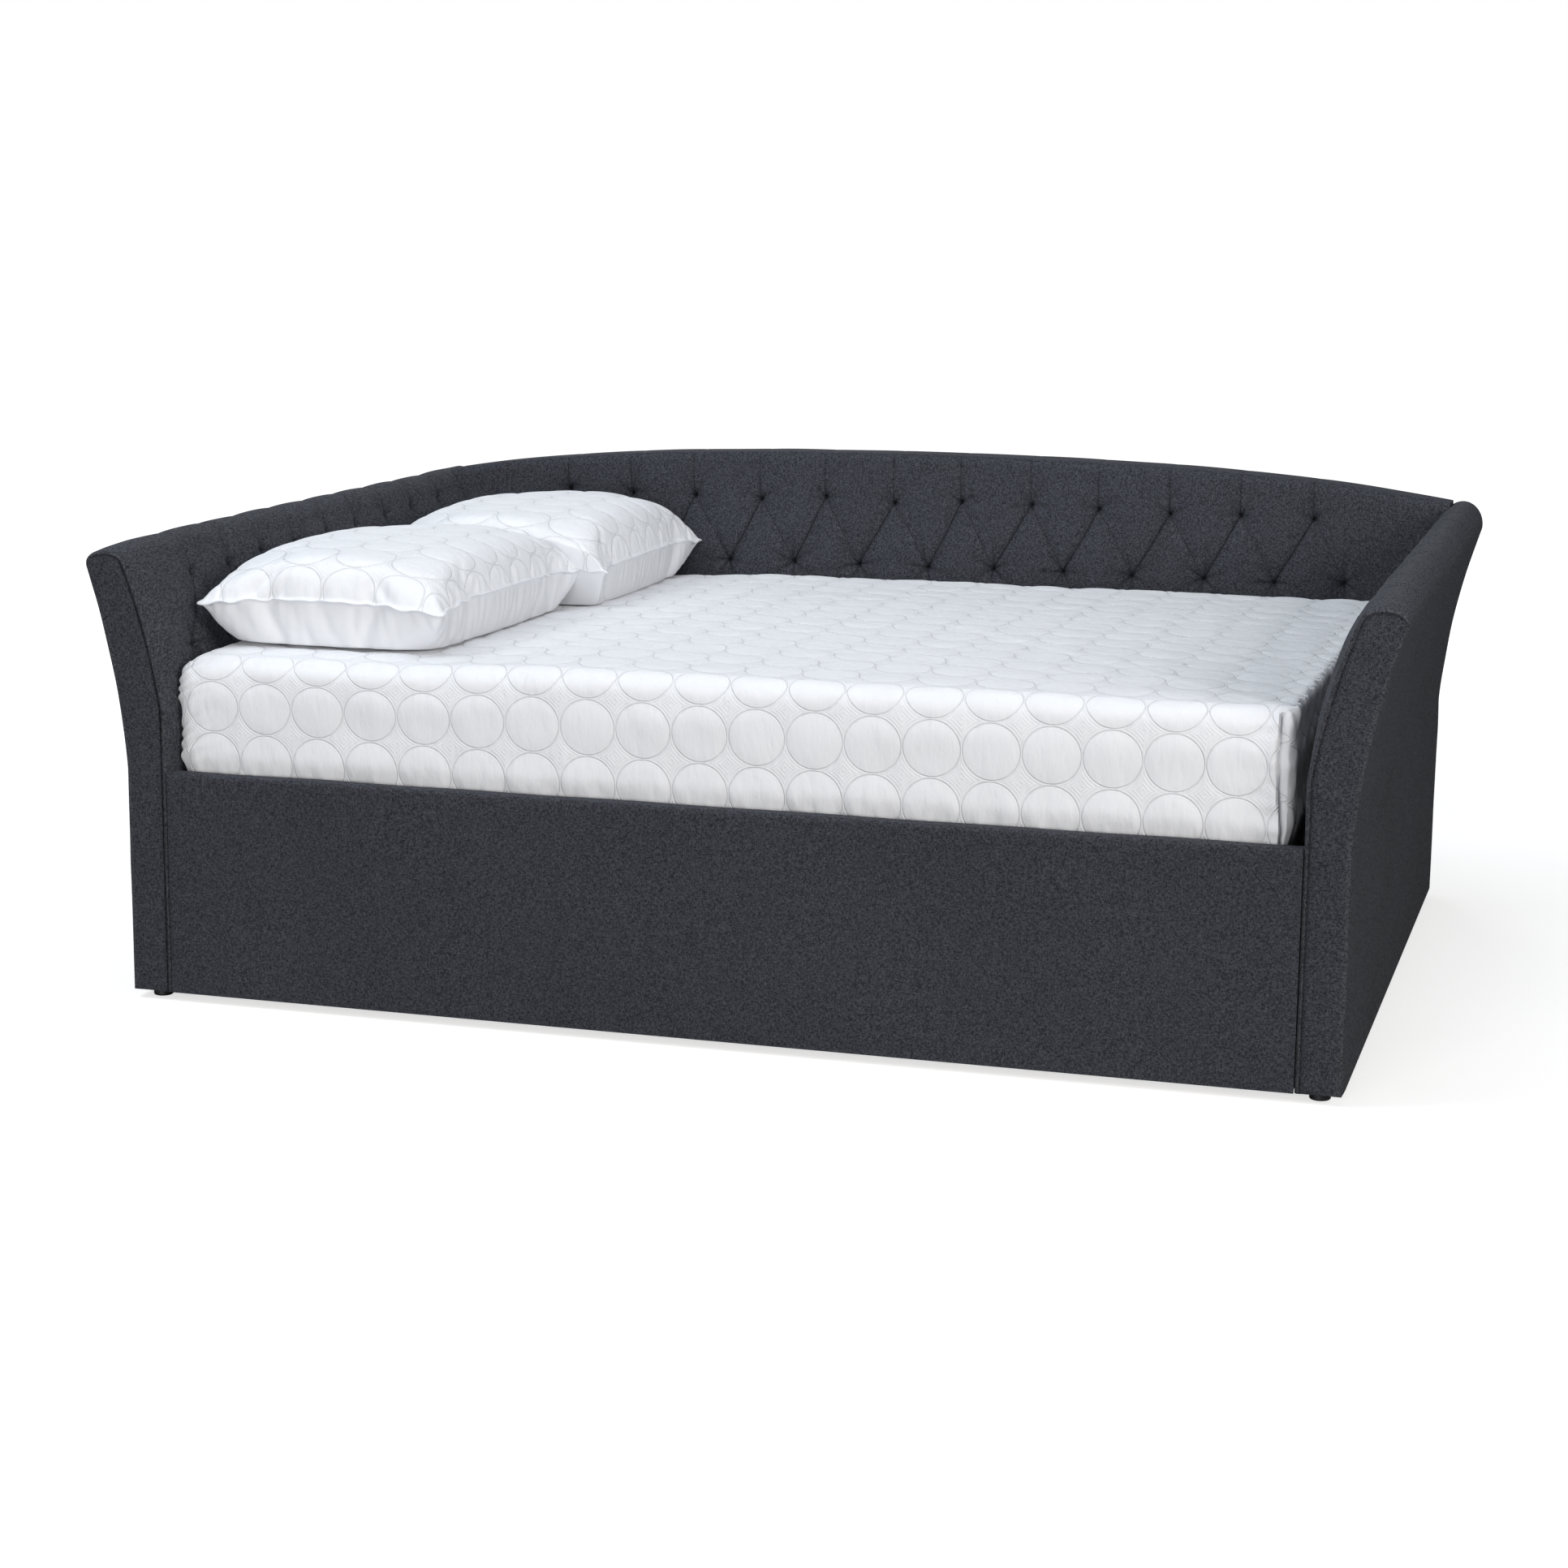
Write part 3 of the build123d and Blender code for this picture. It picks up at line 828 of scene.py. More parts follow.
@dataclass
class ArmProfile:
    """Cross-section of an arm, fitted to the frame: x is the distance from the middle of the daybed."""

    flare_inner: float = 0.540
    flare_outer: float = 0.430
    roll: float = 0.806
    low: float = 0.016
    low_rows: int = 12
    pad_rows: int = 78
    roll_rows: int = 26
    flank_rows: int = 34
    foot_rows: int = 8

    def __post_init__(self) -> None:
        """Read the arm's extents from the frame."""
        inner_low, inner_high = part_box("arm_right_inner_cover")
        outer_low, outer_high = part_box("arm_right_outer_cover")
        self.inner = inner_low[0]
        self.ridge_x = self.inner + 0.112
        self.ridge_z = inner_high[2]
        self.reach = outer_high[0]
        self.outer = self.inner + 0.078
        self.front = inner_low[1] - 0.006
        self.rear = outer_high[1]

    def path(self) -> tuple[np.ndarray, np.ndarray]:
        """Closed outline from the inner foot, over the roll, to the outer foot and back.

        Returns:
            Points of shape (n, 2) as (x, z), and the outline's length up to each point.
        """
        inner_bend = (self.inner, self.flare_inner)
        roll_inner = (self.ridge_x - 0.040, self.roll + 0.006)
        roll_outer = (self.reach - 0.001, self.roll - 0.006)
        outer_bend = (self.outer, self.flare_outer)
        runs = [
            straight((self.inner, self.low), inner_bend, self.low_rows),
            arc_through(inner_bend, (self.inner + 0.024, 0.661), roll_inner, self.pad_rows),
            arc_through(roll_inner, (self.ridge_x, self.ridge_z), roll_outer, self.roll_rows),
            arc_through(roll_outer, (self.outer + 0.025, 0.622), outer_bend, self.flank_rows),
            straight(outer_bend, (self.outer, self.low), self.foot_rows),
            straight((self.outer, self.low), (self.inner, self.low), 4),
        ]
        points = np.vstack([runs[0], *[run[1:] for run in runs[1:]]])
        steps = np.hypot(*np.diff(points, axis=0).T)
        return points, np.concatenate([[0], np.cumsum(steps)])

    def rise(self, y: np.ndarray, z: np.ndarray) -> np.ndarray:
        """How far the roll's crown stands above the frame's even profile.

        Args:
            y: Places along the arm.
            z: Heights on the even profile.

        Returns:
            Height to add: the crown climbs from the front to the back.
        """
        along = (y - self.front) / (self.rear - self.front)
        crown = 0.829 + 0.012 * (1 - np.exp(-(y - self.front) / 0.15)) + 0.013 * along
        share = np.clip((z - self.roll) / (self.ridge_z - self.roll), 0, 1)
        return (crown - self.ridge_z) * share


def spread_ends(u: np.ndarray, start: float, stop: float, count: int, margin: float = 9 * MM) -> np.ndarray:
    """Turn even steps into places along a pad, with many steps in a margin at each end.

    Args:
        u: Even steps from 0 to 1.
        start: First place.
        stop: Last place.
        count: How many steps there are.
        margin: Length of each end's margin.

    Returns:
        A place for each step.
    """
    share = 12 / count
    return np.interp(u, [0, share, 1 - share, 1], [start, start + margin, stop - margin, stop])


@dataclass
class Arm:
    """One arm: a tufted and rolled pad over its frame, and a facing on its front end."""

    side: Side
    profile: ArmProfile
    columns: int = 440
    pitch: float = 0.1505
    upper_count: int = 9
    lower_count: int = 10
    first_upper: float = -0.600
    first_lower: float = -0.675
    upper_height: float = 0.768
    upper_climb: float = 0.026
    lower_height: float = 0.646
    puff: float = 10 * MM
    edge: float = 10 * MM
    tuck: float = 6 * MM
    tuck_width: float = 1.5 * MM
    flank_edge: float = 6 * MM
    flank_from: float = 0.03
    flank_to: float = 0.12
    flank_fade: float = 0.30
    roll_before: float = 0.11

    def tufting(self, height: Callable[[float], float]) -> Tufting:
        """Lay out the arm's tufts and pleats.

        Args:
            height: Turns a height into the distance along the outline.

        Returns:
            The tufting, in (along the arm, along the outline) coordinates.
        """
        draw = np.random.default_rng(11 if self.side is Side.LEFT else 12)
        upper, lower = [], []
        for index in range(self.upper_count):
            y = self.first_upper + self.pitch * index
            z = self.upper_height + self.upper_climb * index * self.pitch
            upper.append(scatter(draw, y, height(z), 3 * MM))
        for index in range(self.lower_count):
            y = self.first_lower + self.pitch * index
            lower.append(scatter(draw, y, height(self.lower_height), 3 * MM))
        return Tufting(upper, lower, seed=30 + self.side.value, valley=6 * MM, crease=3 * MM, pit=11 * MM,
                       above_valley=3.4 * MM, above_crease=1.4 * MM, reach_above=2.4)

    def upholstery(self, cloth: bpy.types.Material) -> bpy.types.Object:
        """Build the tufted pad that wraps the arm from foot to foot.

        Args:
            cloth: Upholstery material.

        Returns:
            The finished piece.
        """
        outline, run = self.profile.path()
        rows = len(outline) - 1
        piece, u, v = unit_grid(f"arm_{self.side.word}_upholstery", self.columns, rows)
        place = v * rows
        index = np.arange(rows + 1)
        x = np.interp(place, index, outline[:, 0])
        z = np.interp(place, index, outline[:, 1])
        s = np.interp(place, index, run)
        tangent = np.gradient(outline, axis=0)
        tangent /= np.linalg.norm(tangent, axis=1)[:, None]
        out_x = -np.interp(place, index, tangent[:, 1])
        out_z = np.interp(place, index, tangent[:, 0])
        front, rear = self.profile.front, self.profile.rear
        y = spread_ends(u, front, rear, self.columns)
        z_crown = z + self.profile.rise(y, z)

        inner = self.profile.low_rows + self.profile.pad_rows
        pad_z, pad_s = outline[:inner, 1], run[:inner]
        ridge = float(run[int(np.argmax(outline[:, 1]))])
        tufting = self.tufting(lambda height: float(np.interp(height, pad_z, pad_s)))
        tufting.map_on(piece, y, s)
        drawn = tufting.depth(y, s)
        past = np.clip((s - ridge) / self.flank_fade, 0, 1)
        drawn *= (1 - past) ** 1.3 * np.where(s < ridge, step(z, 0.50, 0.60), 1.0)
        drawn *= step(y, front + 0.012, front + 0.09)

        roll_from = ridge - self.roll_before
        on_flank = step(s, ridge + self.flank_from, ridge + self.flank_to)
        bulge = self.puff * step(y, front + 0.004, front + 0.06) * (1 - step(s, roll_from, ridge - 0.01))
        bulge = bulge * (0.3 + 0.7 * step(z, 0.52, 0.66))
        bulge += 1.8 * MM * step(y, front, front + 0.05) * step(s, roll_from, ridge)
        edge = self.edge - self.flank_edge * on_flank
        waver = 0.8 * MM * wander(y, s, 0.16, 21) * step(z, 0.05, 0.3)
        shift = bulge - drawn + waver

        near_end = np.minimum(y - front, rear - y)
        lean = np.clip(1 - near_end / edge, 0, 1)
        tucked = np.clip(1 - (y - front) / self.tuck_width, 0, 1) * (1 - on_flank)
        shift -= edge * (1 - np.sqrt(1 - lean ** 2)) + 2 * MM * tucked
        y = y + self.tuck * tucked
        x = x + out_x * shift
        z_new = np.maximum(z_crown + out_z * shift, self.profile.low)
        shaped = np.column_stack([self.side.value * x, y, z_new])
        meet_ends(shaped, u, v)
        set_points(piece, shaped)
        close_shell(piece)
        smooth(piece, 50)
        piece.data.materials.append(cloth)
        return piece

    def facing(self, cloth: bpy.types.Material) -> bpy.types.Object:
        """Build the sewn-in panel on the arm's front end.

        Args:
            cloth: Upholstery material.

        Returns:
            The finished piece.
        """
        outline, _ = self.profile.path()
        top = int(np.argmax(outline[:, 1]))
        tangent = np.gradient(outline, axis=0)
        tangent /= np.linalg.norm(tangent, axis=1)[:, None]
        normal = np.column_stack([-tangent[:, 1], tangent[:, 0]])
        front = self.profile.front
        crown = outline[:, 1] + self.profile.rise(np.full(len(outline), front), outline[:, 1])
        past = np.arange(len(outline)) - top
        inset = self.edge + 0.5 * MM - self.flank_edge * step(past, 6, 16)
        rim = np.column_stack([outline[:, 0], crown]) - normal * inset[:, None]
        rim[:, 1] = np.maximum(rim[:, 1], self.profile.low + 1 * MM)
        outer_foot = len(outline) - 3
        left, right = rim[: top + 1], rim[top: outer_foot][::-1]
        rows, columns = 150, 26
        piece, u, v = unit_grid(f"arm_{self.side.word}_facing", columns, rows)
        edges = []
        for rail in (left, right):
            length = np.concatenate([[0], np.cumsum(np.hypot(*np.diff(rail, axis=0).T))])
            share = length / length[-1]
            edges.append((np.interp(v, share, rail[:, 0]), np.interp(v, share, rail[:, 1])))
        (lx, lz), (rx, rz) = edges
        x, z = lx + (rx - lx) * u, lz + (rz - lz) * u
        width = np.hypot(rx - lx, rz - lz)
        inset = np.minimum(np.minimum(u, 1 - u) * width, (z - self.profile.low))
        plump = 1 - np.exp(-inset / (5 * MM))
        y = front + 4.5 * MM - 2.2 * MM * plump - 0.5 * MM * wander(x, z, 0.12, 31)
        set_points(piece, np.column_stack([self.side.value * x, y, z]))
        rim_gap = np.minimum(u * width, np.hypot(x - rim[top, 0], z - rim[top, 1]))
        arch = rim[top - 8: top + 8]
        arch_gap = np.abs(np.interp(x, arch[:, 0], arch[:, 1]) - z)
        rim_gap = np.minimum(rim_gap, np.where(x > arch[0, 0], arch_gap, 1.0))
        clear_maps(piece.data)
        # The distance to the rim sets where the painted shadow along the sewn rim falls.
        rim_map = np.column_stack([rim_gap, np.zeros_like(rim_gap)])
        store_map(piece.data, "rim", rim_map[corner_vertices(piece.data)])
        activate(piece)
        wall = piece.modifiers.new("wall", "SOLIDIFY")
        wall.thickness = 6 * MM
        wall.offset = 0.0
        apply_all(piece)
        close_shell(piece, 2e-5)
        smooth(piece, 50)
        piece.data.materials.append(cloth)
        return piece

    def build(self, seam_shadowed: bpy.types.Material, tufted: bpy.types.Material) -> None:
        """Make the arm's pieces and hand them to the frame.

        Args:
            seam_shadowed: Upholstery material with a painted shadow along its sewn-in rim.
            tufted: Upholstery material with painted shade in the pleats' creases and the ties' pits.
        """
        word = self.side.word
        pad = self.upholstery(tufted)
        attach(pad, Body.FRAME.value)
        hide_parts(f"arm_{word}_inner_cover", f"arm_{word}_outer_cover", f"arm_{word}_foam")
        face = self.facing(seam_shadowed)
        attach(face, Body.FRAME.value)
        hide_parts(f"arm_{word}_front_facing")
        counts = len(pad.data.polygons), len(face.data.polygons)
        LOG.info("arm %s: pad %d faces, facing %d faces", word, *counts)


# ---------------------------------------------------------------- back


@dataclass
class Back:
    """The arched tufted back, and the plain panel behind it."""

    profile: ArmProfile
    columns: int = 860
    pitch: float = 0.152
    upper_count: int = 12
    lower_count: int = 13
    upper_height: float = 0.819
    lower_height: float = 0.679
    puff: float = 6 * MM
    top_radius: float = 16 * MM
    seam_radius: float = 8 * MM
    band_from: float = 0.60
    band_rows: int = 86
    arch: tuple[float, float, float] = (0.922, -0.0307, -0.0179)

    def __post_init__(self) -> None:
        """Read the back's extents from the frame."""
        low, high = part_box("back_cover")
        rear_low, rear_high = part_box("back_rear_cover")
        self.front, self.rear = low[1], rear_high[1]
        self.seam = rear_low[1]
        self.low = low[2]
        self.half = high[0]

    def top(self, x: np.ndarray) -> np.ndarray:
        """Height of the arch at each x."""
        crown, square, fourth = self.arch
        return crown + square * x ** 2 + fourth * x ** 4

    def end(self, z: np.ndarray) -> np.ndarray:
        """Half-width of the back at each height, tucked a little into the arms."""
        outline, _ = self.profile.path()
        count = self.profile.low_rows + self.profile.pad_rows
        reach = np.interp(z, outline[:count, 1], outline[:count, 0])
        return np.minimum(reach + 0.020 * step(z, 0.75, 0.84), self.half + 1.5 * MM)

    def tufting(self) -> Tufting:
        """Lay out the back's tufts and pleats in (x, z) coordinates."""
        draw = np.random.default_rng(5)
        upper, lower = [], []
        for index in range(self.upper_count):
            x = (index - (self.upper_count - 1) / 2) * self.pitch
            upper.append(scatter(draw, x, self.upper_height, 5 * MM))
        for index in range(self.lower_count):
            x = (index - (self.lower_count - 1) / 2) * self.pitch
            lower.append(scatter(draw, x, self.lower_height, 3 * MM))
        return Tufting(upper, lower, seed=7)

    def section(self) -> tuple[np.ndarray, np.ndarray]:
        """Closed section of the pad, from its front foot over the top edge to the seam and back.

        Returns:
            The y of each row, and a table of (share, drop) that gives the row's height as
            low + share * (top - low) - drop.
        """
        r, seam, fold = self.top_radius, self.seam, self.seam_radius
        rows = [(self.front, share, 0.0) for share in np.linspace(0, self.band_from, 12)]
        rows += [(self.front, share, drop) for share, drop in self.band()]
        for turn in np.linspace(0, math.pi / 2, 9)[1:]:
            rows.append((self.front + r * (1 - math.cos(turn)), 1.0, r * (1 - math.sin(turn))))
        for y in np.linspace(self.front + r, seam - fold, 7)[1:]:
            rows.append((y, 1.0, 0.0))
        for turn in np.linspace(0, math.pi / 2, 5)[1:]:
            rows.append((seam - fold * (1 - math.sin(turn)), 1.0, fold * (1 - math.cos(turn))))
        for share in np.linspace(0.95, 0, 5):
            rows.append((seam, share, 0.0))
        rows.append((self.front, 0.0, 0.0))
        table = np.array(rows)
        return table[:, 0], table[:, 1:]

    def band(self) -> list[tuple[float, float]]:
        """Closely spaced (share, drop) rows of the tufted band, up to where the top edge turns."""
        start = self.band_from
        shares = np.linspace(start, 1.0, self.band_rows + 1)[1:]
        return [(share, self.top_radius * (share - start) / (1 - start)) for share in shares]

    def pad(self, cloth: bpy.types.Material) -> bpy.types.Object:
        """Build the tufted pad.

        Args:
            cloth: Upholstery material.

        Returns:
            The finished piece.
        """
        depth_row, height_row = self.section()
        rows = len(depth_row) - 1
        piece, u, v = unit_grid("back_upholstery", self.columns, rows)
        place = v * rows
        index = np.arange(rows + 1)
        y = np.interp(place, index, depth_row)
        share = np.interp(place, index, height_row[:, 0])
        drop = np.interp(place, index, height_row[:, 1])
        middle = (u - 0.5) * 2
        z = self.low + share * (self.top(middle * self.half) - self.low) - drop
        x = middle * self.end(z)
        z = self.low + share * (self.top(x) - self.low) - drop

        turn = np.clip((y - self.front) / self.top_radius, 0, 1)
        over = step(y, self.front + self.top_radius, self.seam)
        reach = np.where(share >= 1.0, (y - self.front) * 1.2, 0.0)
        tufting = self.tufting()
        tufting.map_on(piece, x, z + reach)
        drawn = tufting.depth(x, z + reach)
        in_front = (y < self.seam - 1 * MM)
        drawn = np.where(in_front, drawn * (1 - 0.75 * over), 0.0) * step(z, 0.40, 0.52)
        bulge = self.puff * step(z, 0.45, 0.62) * np.where(in_front, 1 - turn * 0.5, 0)
        waver = 0.8 * MM * wander(x, z + y, 0.2, 41) * in_front
        shift = bulge - drawn + waver
        out_y = -np.sqrt(np.clip(1 - turn ** 2, 0, 1)) * (share <= 1.0) * in_front
        out_z = np.where(share >= 1.0, turn, 0.0) * in_front * 0.6
        shaped = np.column_stack([x, y + out_y * shift, z + out_z * shift])
        meet_ends(shaped, u, v)
        set_points(piece, shaped)
        close_shell(piece)
        smooth(piece, 50)
        piece.data.materials.append(cloth)
        return piece

    def rear_panel(self, cloth: bpy.types.Material) -> bpy.types.Object:
        """Build the plain panel that closes the back of the daybed.

        Args:
            cloth: Upholstery material.

        Returns:
            The finished piece.
        """
        piece, u, v = unit_grid("back_rear_panel", 120, 60)
        middle = (u - 0.5) * 2
        z = self.low + v * (self.top(middle * self.half) - 3 * MM - self.low)
        x = middle * (self.end(z) - 2 * MM)
        z = self.low + v * (self.top(x) - 3 * MM - self.low)
        inset = np.minimum(np.minimum(u, 1 - u) * 2.1, np.minimum(v, 1 - v) * 0.85)
        plump = 1 - np.exp(-inset / (9 * MM))
        y = self.seam + 2.5 * MM + 5.0 * MM * plump + 0.8 * MM * wander(x, z, 0.35, 51)
        set_points(piece, np.column_stack([x, y, z]))
        wall = piece.modifiers.new("wall", "SOLIDIFY")
        wall.thickness = 3 * MM
        wall.offset = 1.0
        apply_all(piece)
        close_shell(piece)
        smooth(piece, 50)
        piece.data.materials.append(cloth)
        return piece

    def build(self, cloth: bpy.types.Material, tufted: bpy.types.Material) -> None:
        """Make the back's pieces and hand them to the frame.

        Args:
            cloth: Upholstery material.
            tufted: Upholstery material with painted shade in the pleats' creases and the ties' pits.
        """
        pad = self.pad(tufted)
        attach(pad, Body.FRAME.value)
        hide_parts("back_cover", "back_foam")
        panel = self.rear_panel(cloth)
        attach(panel, Body.FRAME.value)
        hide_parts("back_rear_cover")
        counts = len(pad.data.polygons), len(panel.data.polygons)
        LOG.info("back: pad %d faces, rear panel %d faces", *counts)


# ---------------------------------------------------------------- front rail


@dataclass
class FrontRail:
    """The padded front rail between the arms."""

    columns: int = 260
    round_over: float = 8 * MM
    stretch: float = 2.2 * MM

    def build(self, cloth: bpy.types.Material) -> None:
        """Make the rail's cover and hand it to the frame.

        Args:
            cloth: Upholstery material.
        """
        low, high = (np.array(corner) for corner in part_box("front_cover"))
        board_low, board_high = (np.array(corner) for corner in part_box("front_board"))
        r = self.round_over
        path = [(low[1], z) for z in np.linspace(low[2], high[2] - r, 44)]
        path += [(low[1] + r * (1 - math.cos(t)), high[2] - r * (1 - math.sin(t)))
                 for t in np.linspace(0, math.pi / 2, 6)[1:]]
        path += [(y, high[2]) for y in np.linspace(low[1] + r, high[1] - r, 4)[1:]]
        path += [(high[1] - r * (1 - math.sin(t)), high[2] - r * (1 - math.cos(t)))
                 for t in np.linspace(0, math.pi / 2, 5)[1:]]
        path += [(high[1], z) for z in np.linspace(high[2] - r, low[2], 8)[1:]]
        path += [(board_high[1] + 1 * MM, low[2]), (board_high[1] + 1 * MM, board_high[2] + 1 * MM)]
        path += [(board_low[1] - 1 * MM, board_high[2] + 1 * MM), (board_low[1] - 1 * MM, low[2]), path[0]]
        table = np.array(path)
        rows = len(table) - 1
        piece, u, v = unit_grid("front_rail_upholstery", self.columns, rows)
        y = np.interp(v * rows, np.arange(rows + 1), table[:, 0])
        z = np.interp(v * rows, np.arange(rows + 1), table[:, 1])
        x = low[0] - self.stretch + u * (high[0] - low[0] + 2 * self.stretch)
        outer = (y < low[1] + 2 * MM) & (z > low[2] + 1 * MM)
        near_end = np.minimum(u, 1 - u) * (high[0] - low[0])
        plump = 1.6 * MM * (1 - np.exp(-near_end / (10 * MM))) - 1.2 * MM
        waver = 0.7 * MM * wander(x, z, 0.28, 61)
        ease = step(z, low[2], low[2] + 0.03)
        y = y - np.where(outer, (plump + waver) * ease, 0.0)
        top = (z > high[2] - r) & (y < high[1] - 4 * MM)
        z = z + np.where(top, 0.8 * MM * wander(x, z * 0, 0.2, 62), 0.0)
        shaped = np.column_stack([x, y, z])
        meet_ends(shaped, u, v)
        set_points(piece, shaped)
        close_shell(piece)
        smooth(piece, 50)
        piece.data.materials.append(cloth)
        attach(piece, Body.FRAME.value)
        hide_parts("front_cover")
        LOG.info("front rail: %d faces", len(piece.data.polygons))


# ---------------------------------------------------------------- bedding


@dataclass(frozen=True)
class RingQuilt:
    """The quilting pattern: rings that touch, on a square lattice."""

    puff: float
    pitch: float = 0.1035
    ring: float = 0.485
    seam_width: float = 0.045

    def lift(self, a: np.ndarray, b: np.ndarray) -> np.ndarray:
        """Height of the quilting over its stitch lines.

        Args:
            a: First coordinate in units of the pitch.
            b: Second coordinate in units of the pitch.

        Returns:
            Height in metres.
        """
        reach = np.hypot(a % 1 - 0.5, b % 1 - 0.5)
        seam = np.exp(-np.abs(reach - self.ring) / self.seam_width)
        dome = np.maximum(1 - (reach / self.ring) ** 2, 0.0)
        return self.puff * (0.35 * dome - 0.65 * seam)


class Face(Enum):
    """Faces of the mattress that its cover is made of."""

    TOP = "top"
    FRONT = "front"
    REAR = "rear"
    LEFT = "left"
    RIGHT = "right"


@dataclass
class Mattress:
    """A mattress in its quilted white cover."""

    quilt: RingQuilt
    steps_x: int = 384
    steps_y: int = 288
    steps_z: int = 44
    plan_radius: float = 30 * MM
    top_radius: float = 44 * MM
    corner_radius: float = 16 * MM
    crown: float = 6 * MM
    spread: float = 9 * MM
    sink: float = 12 * MM
    ring_x: float = 0.082
    ring_z: float = 0.552
    rail_top: float = 0.428
    settling: float = 0.12
    belly: float = 4 * MM
    hump: float = 2.2 * MM
    hump_pitch: float = 0.155

    def __post_init__(self) -> None:
        """Read the mattress's extents from the frame."""
        self.low, self.high = (np.array(corner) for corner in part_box("quilt_top"))
        self.low[2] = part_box("quilt_front")[0][2]
        self.low[0] -= self.spread
        self.middle = (self.low + self.high) / 2
        self.half = (self.high - self.low) / 2

    def shell(self) -> bpy.types.Object:
        """Weld five grids into an open box and cap its underside.

        Returns:
            The box, at the mattress's size.
        """
        size = self.high - self.low
        right = math.pi / 2
        plan = {
            Face.TOP: ((self.steps_x, self.steps_y), (0, 0, 0), (0, 0, 1), (size[0], size[1], 1)),
            Face.FRONT: ((self.steps_x, self.steps_z), (right, 0, 0), (0, -1, 0), (size[0], size[2], 1)),
            Face.REAR: ((self.steps_x, self.steps_z), (right, 0, 0), (0, 1, 0), (size[0], size[2], 1)),
            Face.LEFT: ((self.steps_z, self.steps_y), (0, right, 0), (-1, 0, 0), (size[2], size[1], 1)),
            Face.RIGHT: ((self.steps_z, self.steps_y), (0, right, 0), (1, 0, 0), (size[2], size[1], 1)),
        }
        faces = []
        for (columns, rows), turn, way, scale in plan.values():
            deselect()
            spot = self.middle + np.array(way) * self.half
            bpy.ops.mesh.primitive_grid_add(
                x_subdivisions=columns, y_subdivisions=rows, size=1.0, location=spot, rotation=turn
            )
            bpy.context.object.scale = scale
            bpy.ops.object.transform_apply(location=True, rotation=True, scale=True)
            faces.append(bpy.context.object)
        activate(faces[0])
        for piece in faces:
            piece.select_set(True)
        bpy.ops.object.join()
        piece = bpy.context.object
        piece.name = piece.data.name = "mattress_quilted_cover"
        close_shell(piece, 1e-4)
        return piece

    def quilt_map(self, piece: bpy.types.Object) -> None:
        """Lay the quilting pattern flat on each face of the box, as a UV map.

        Args:
            piece: The square box, before it is rounded.
        """
        mesh = piece.data
        points = points_of(piece)[corner_vertices(mesh)]
        facing = np.repeat(face_normals(mesh), corner_counts(mesh), axis=0)
        store_map(mesh, "quilt", np.column_stack(self.unfold(points, facing)))

    def unfold(self, points: np.ndarray, facing: np.ndarray) -> tuple[np.ndarray, np.ndarray]:
        """Pattern coordinates of points on the box.

        Args:
            points: Positions on the square box.
            facing: Outward direction of the face that each belongs to.

        Returns:
            Two coordinates, in units of the quilt's pitch.
        """
        drop = self.high[2] - points[:, 2]
        a = points[:, 0] - self.ring_x
        b = points[:, 1] - self.low[1]
        a = np.where(facing[:, 0] > 0.5, self.high[0] - self.ring_x + drop, a)
        a = np.where(facing[:, 0] < -0.5, self.low[0] - self.ring_x - drop, a)
        b = np.where(facing[:, 1] < -0.5, -drop, b)
        b = np.where(facing[:, 1] > 0.5, 2 * self.half[1] + drop, b)
        offset = (self.ring_z - self.high[2]) % self.quilt.pitch
        return a / self.quilt.pitch + 0.5, (b - offset) / self.quilt.pitch + 0.5

    def shape(self, piece: bpy.types.Object) -> None:
        """Round the box, crown it and raise its quilting, ruffles and puckers.

        Args:
            piece: The square box.
        """
        flat = points_of(piece)
        rel = flat - self.middle
        core = self.half[:2] - self.plan_radius
        off = rel[:, :2] - np.clip(rel[:, :2], -core, core)
        largest = np.abs(off).max(axis=1)
        length = np.maximum(np.hypot(off[:, 0], off[:, 1]), 1e-9)
        way = off / length[:, None]
        rounded = rel[:, :2] - off + way * largest[:, None]
        inset = self.plan_radius - largest
        drop = self.high[2] - flat[:, 2]
        to_corner = np.hypot(*(self.half[:2] - np.abs(rel[:, :2])).T)
        to_right, to_front = self.half[0] - rel[:, 0], self.half[1] - np.abs(rel[:, 1])
        crisp = step(to_front - to_right, -0.02, 0.04)
        rounder = self.corner_radius * np.exp(-((to_corner / 0.09) ** 2)) * (rel[:, 0] < 0)
        r = self.top_radius * (1 - 0.7 * crisp) + rounder
        cx, cz = r - inset, r - drop
        both = (cx > 0) & (cz > 0)
        norm = np.maximum(np.hypot(cx, cz), 1e-9)
        new_inset = np.where(both, r - r * cx / norm, inset)
        new_drop = np.where(both, r - r * cz / norm, drop)
        out_side = np.where(both, cx / norm, (inset < 1e-6).astype(float))
        out_up = np.where(both, cz / norm, (drop < 1e-6).astype(float))
        plan = rounded - way * (new_inset - inset)[:, None]

        facing = np.zeros_like(flat)
        on_side = inset < 1e-6
        facing[on_side, 0] = way[on_side, 0]
        facing[on_side, 1] = way[on_side, 1]
        a, b = self.unfold(flat, facing)
        lift = self.quilt.lift(a, b)
        height = 2 * self.half[2]
        corner = np.minimum(np.abs(way[:, 0]), np.abs(way[:, 1])) * (largest > 0)
        lift *= 1 - 0.8 * step(corner, 0.15, 0.5)
        share = new_drop / height
        belly = np.sin(math.pi * np.clip(share / 0.85, 0, 1))
        uneven = 0.5 * wander(flat[:, 0], flat[:, 1], 0.9, 70)
        second = np.cos(2 * math.pi * (new_drop - 0.07) / self.hump_pitch + uneven)
        lift += out_side * (self.belly * belly + self.hump * second * step(new_drop, 0.03, 0.09))
        lift += self.ruffles(flat, way, drop, on_side)
        lift += 1.4 * MM * wander(flat[:, 0], flat[:, 1] - drop, 0.11, 71)

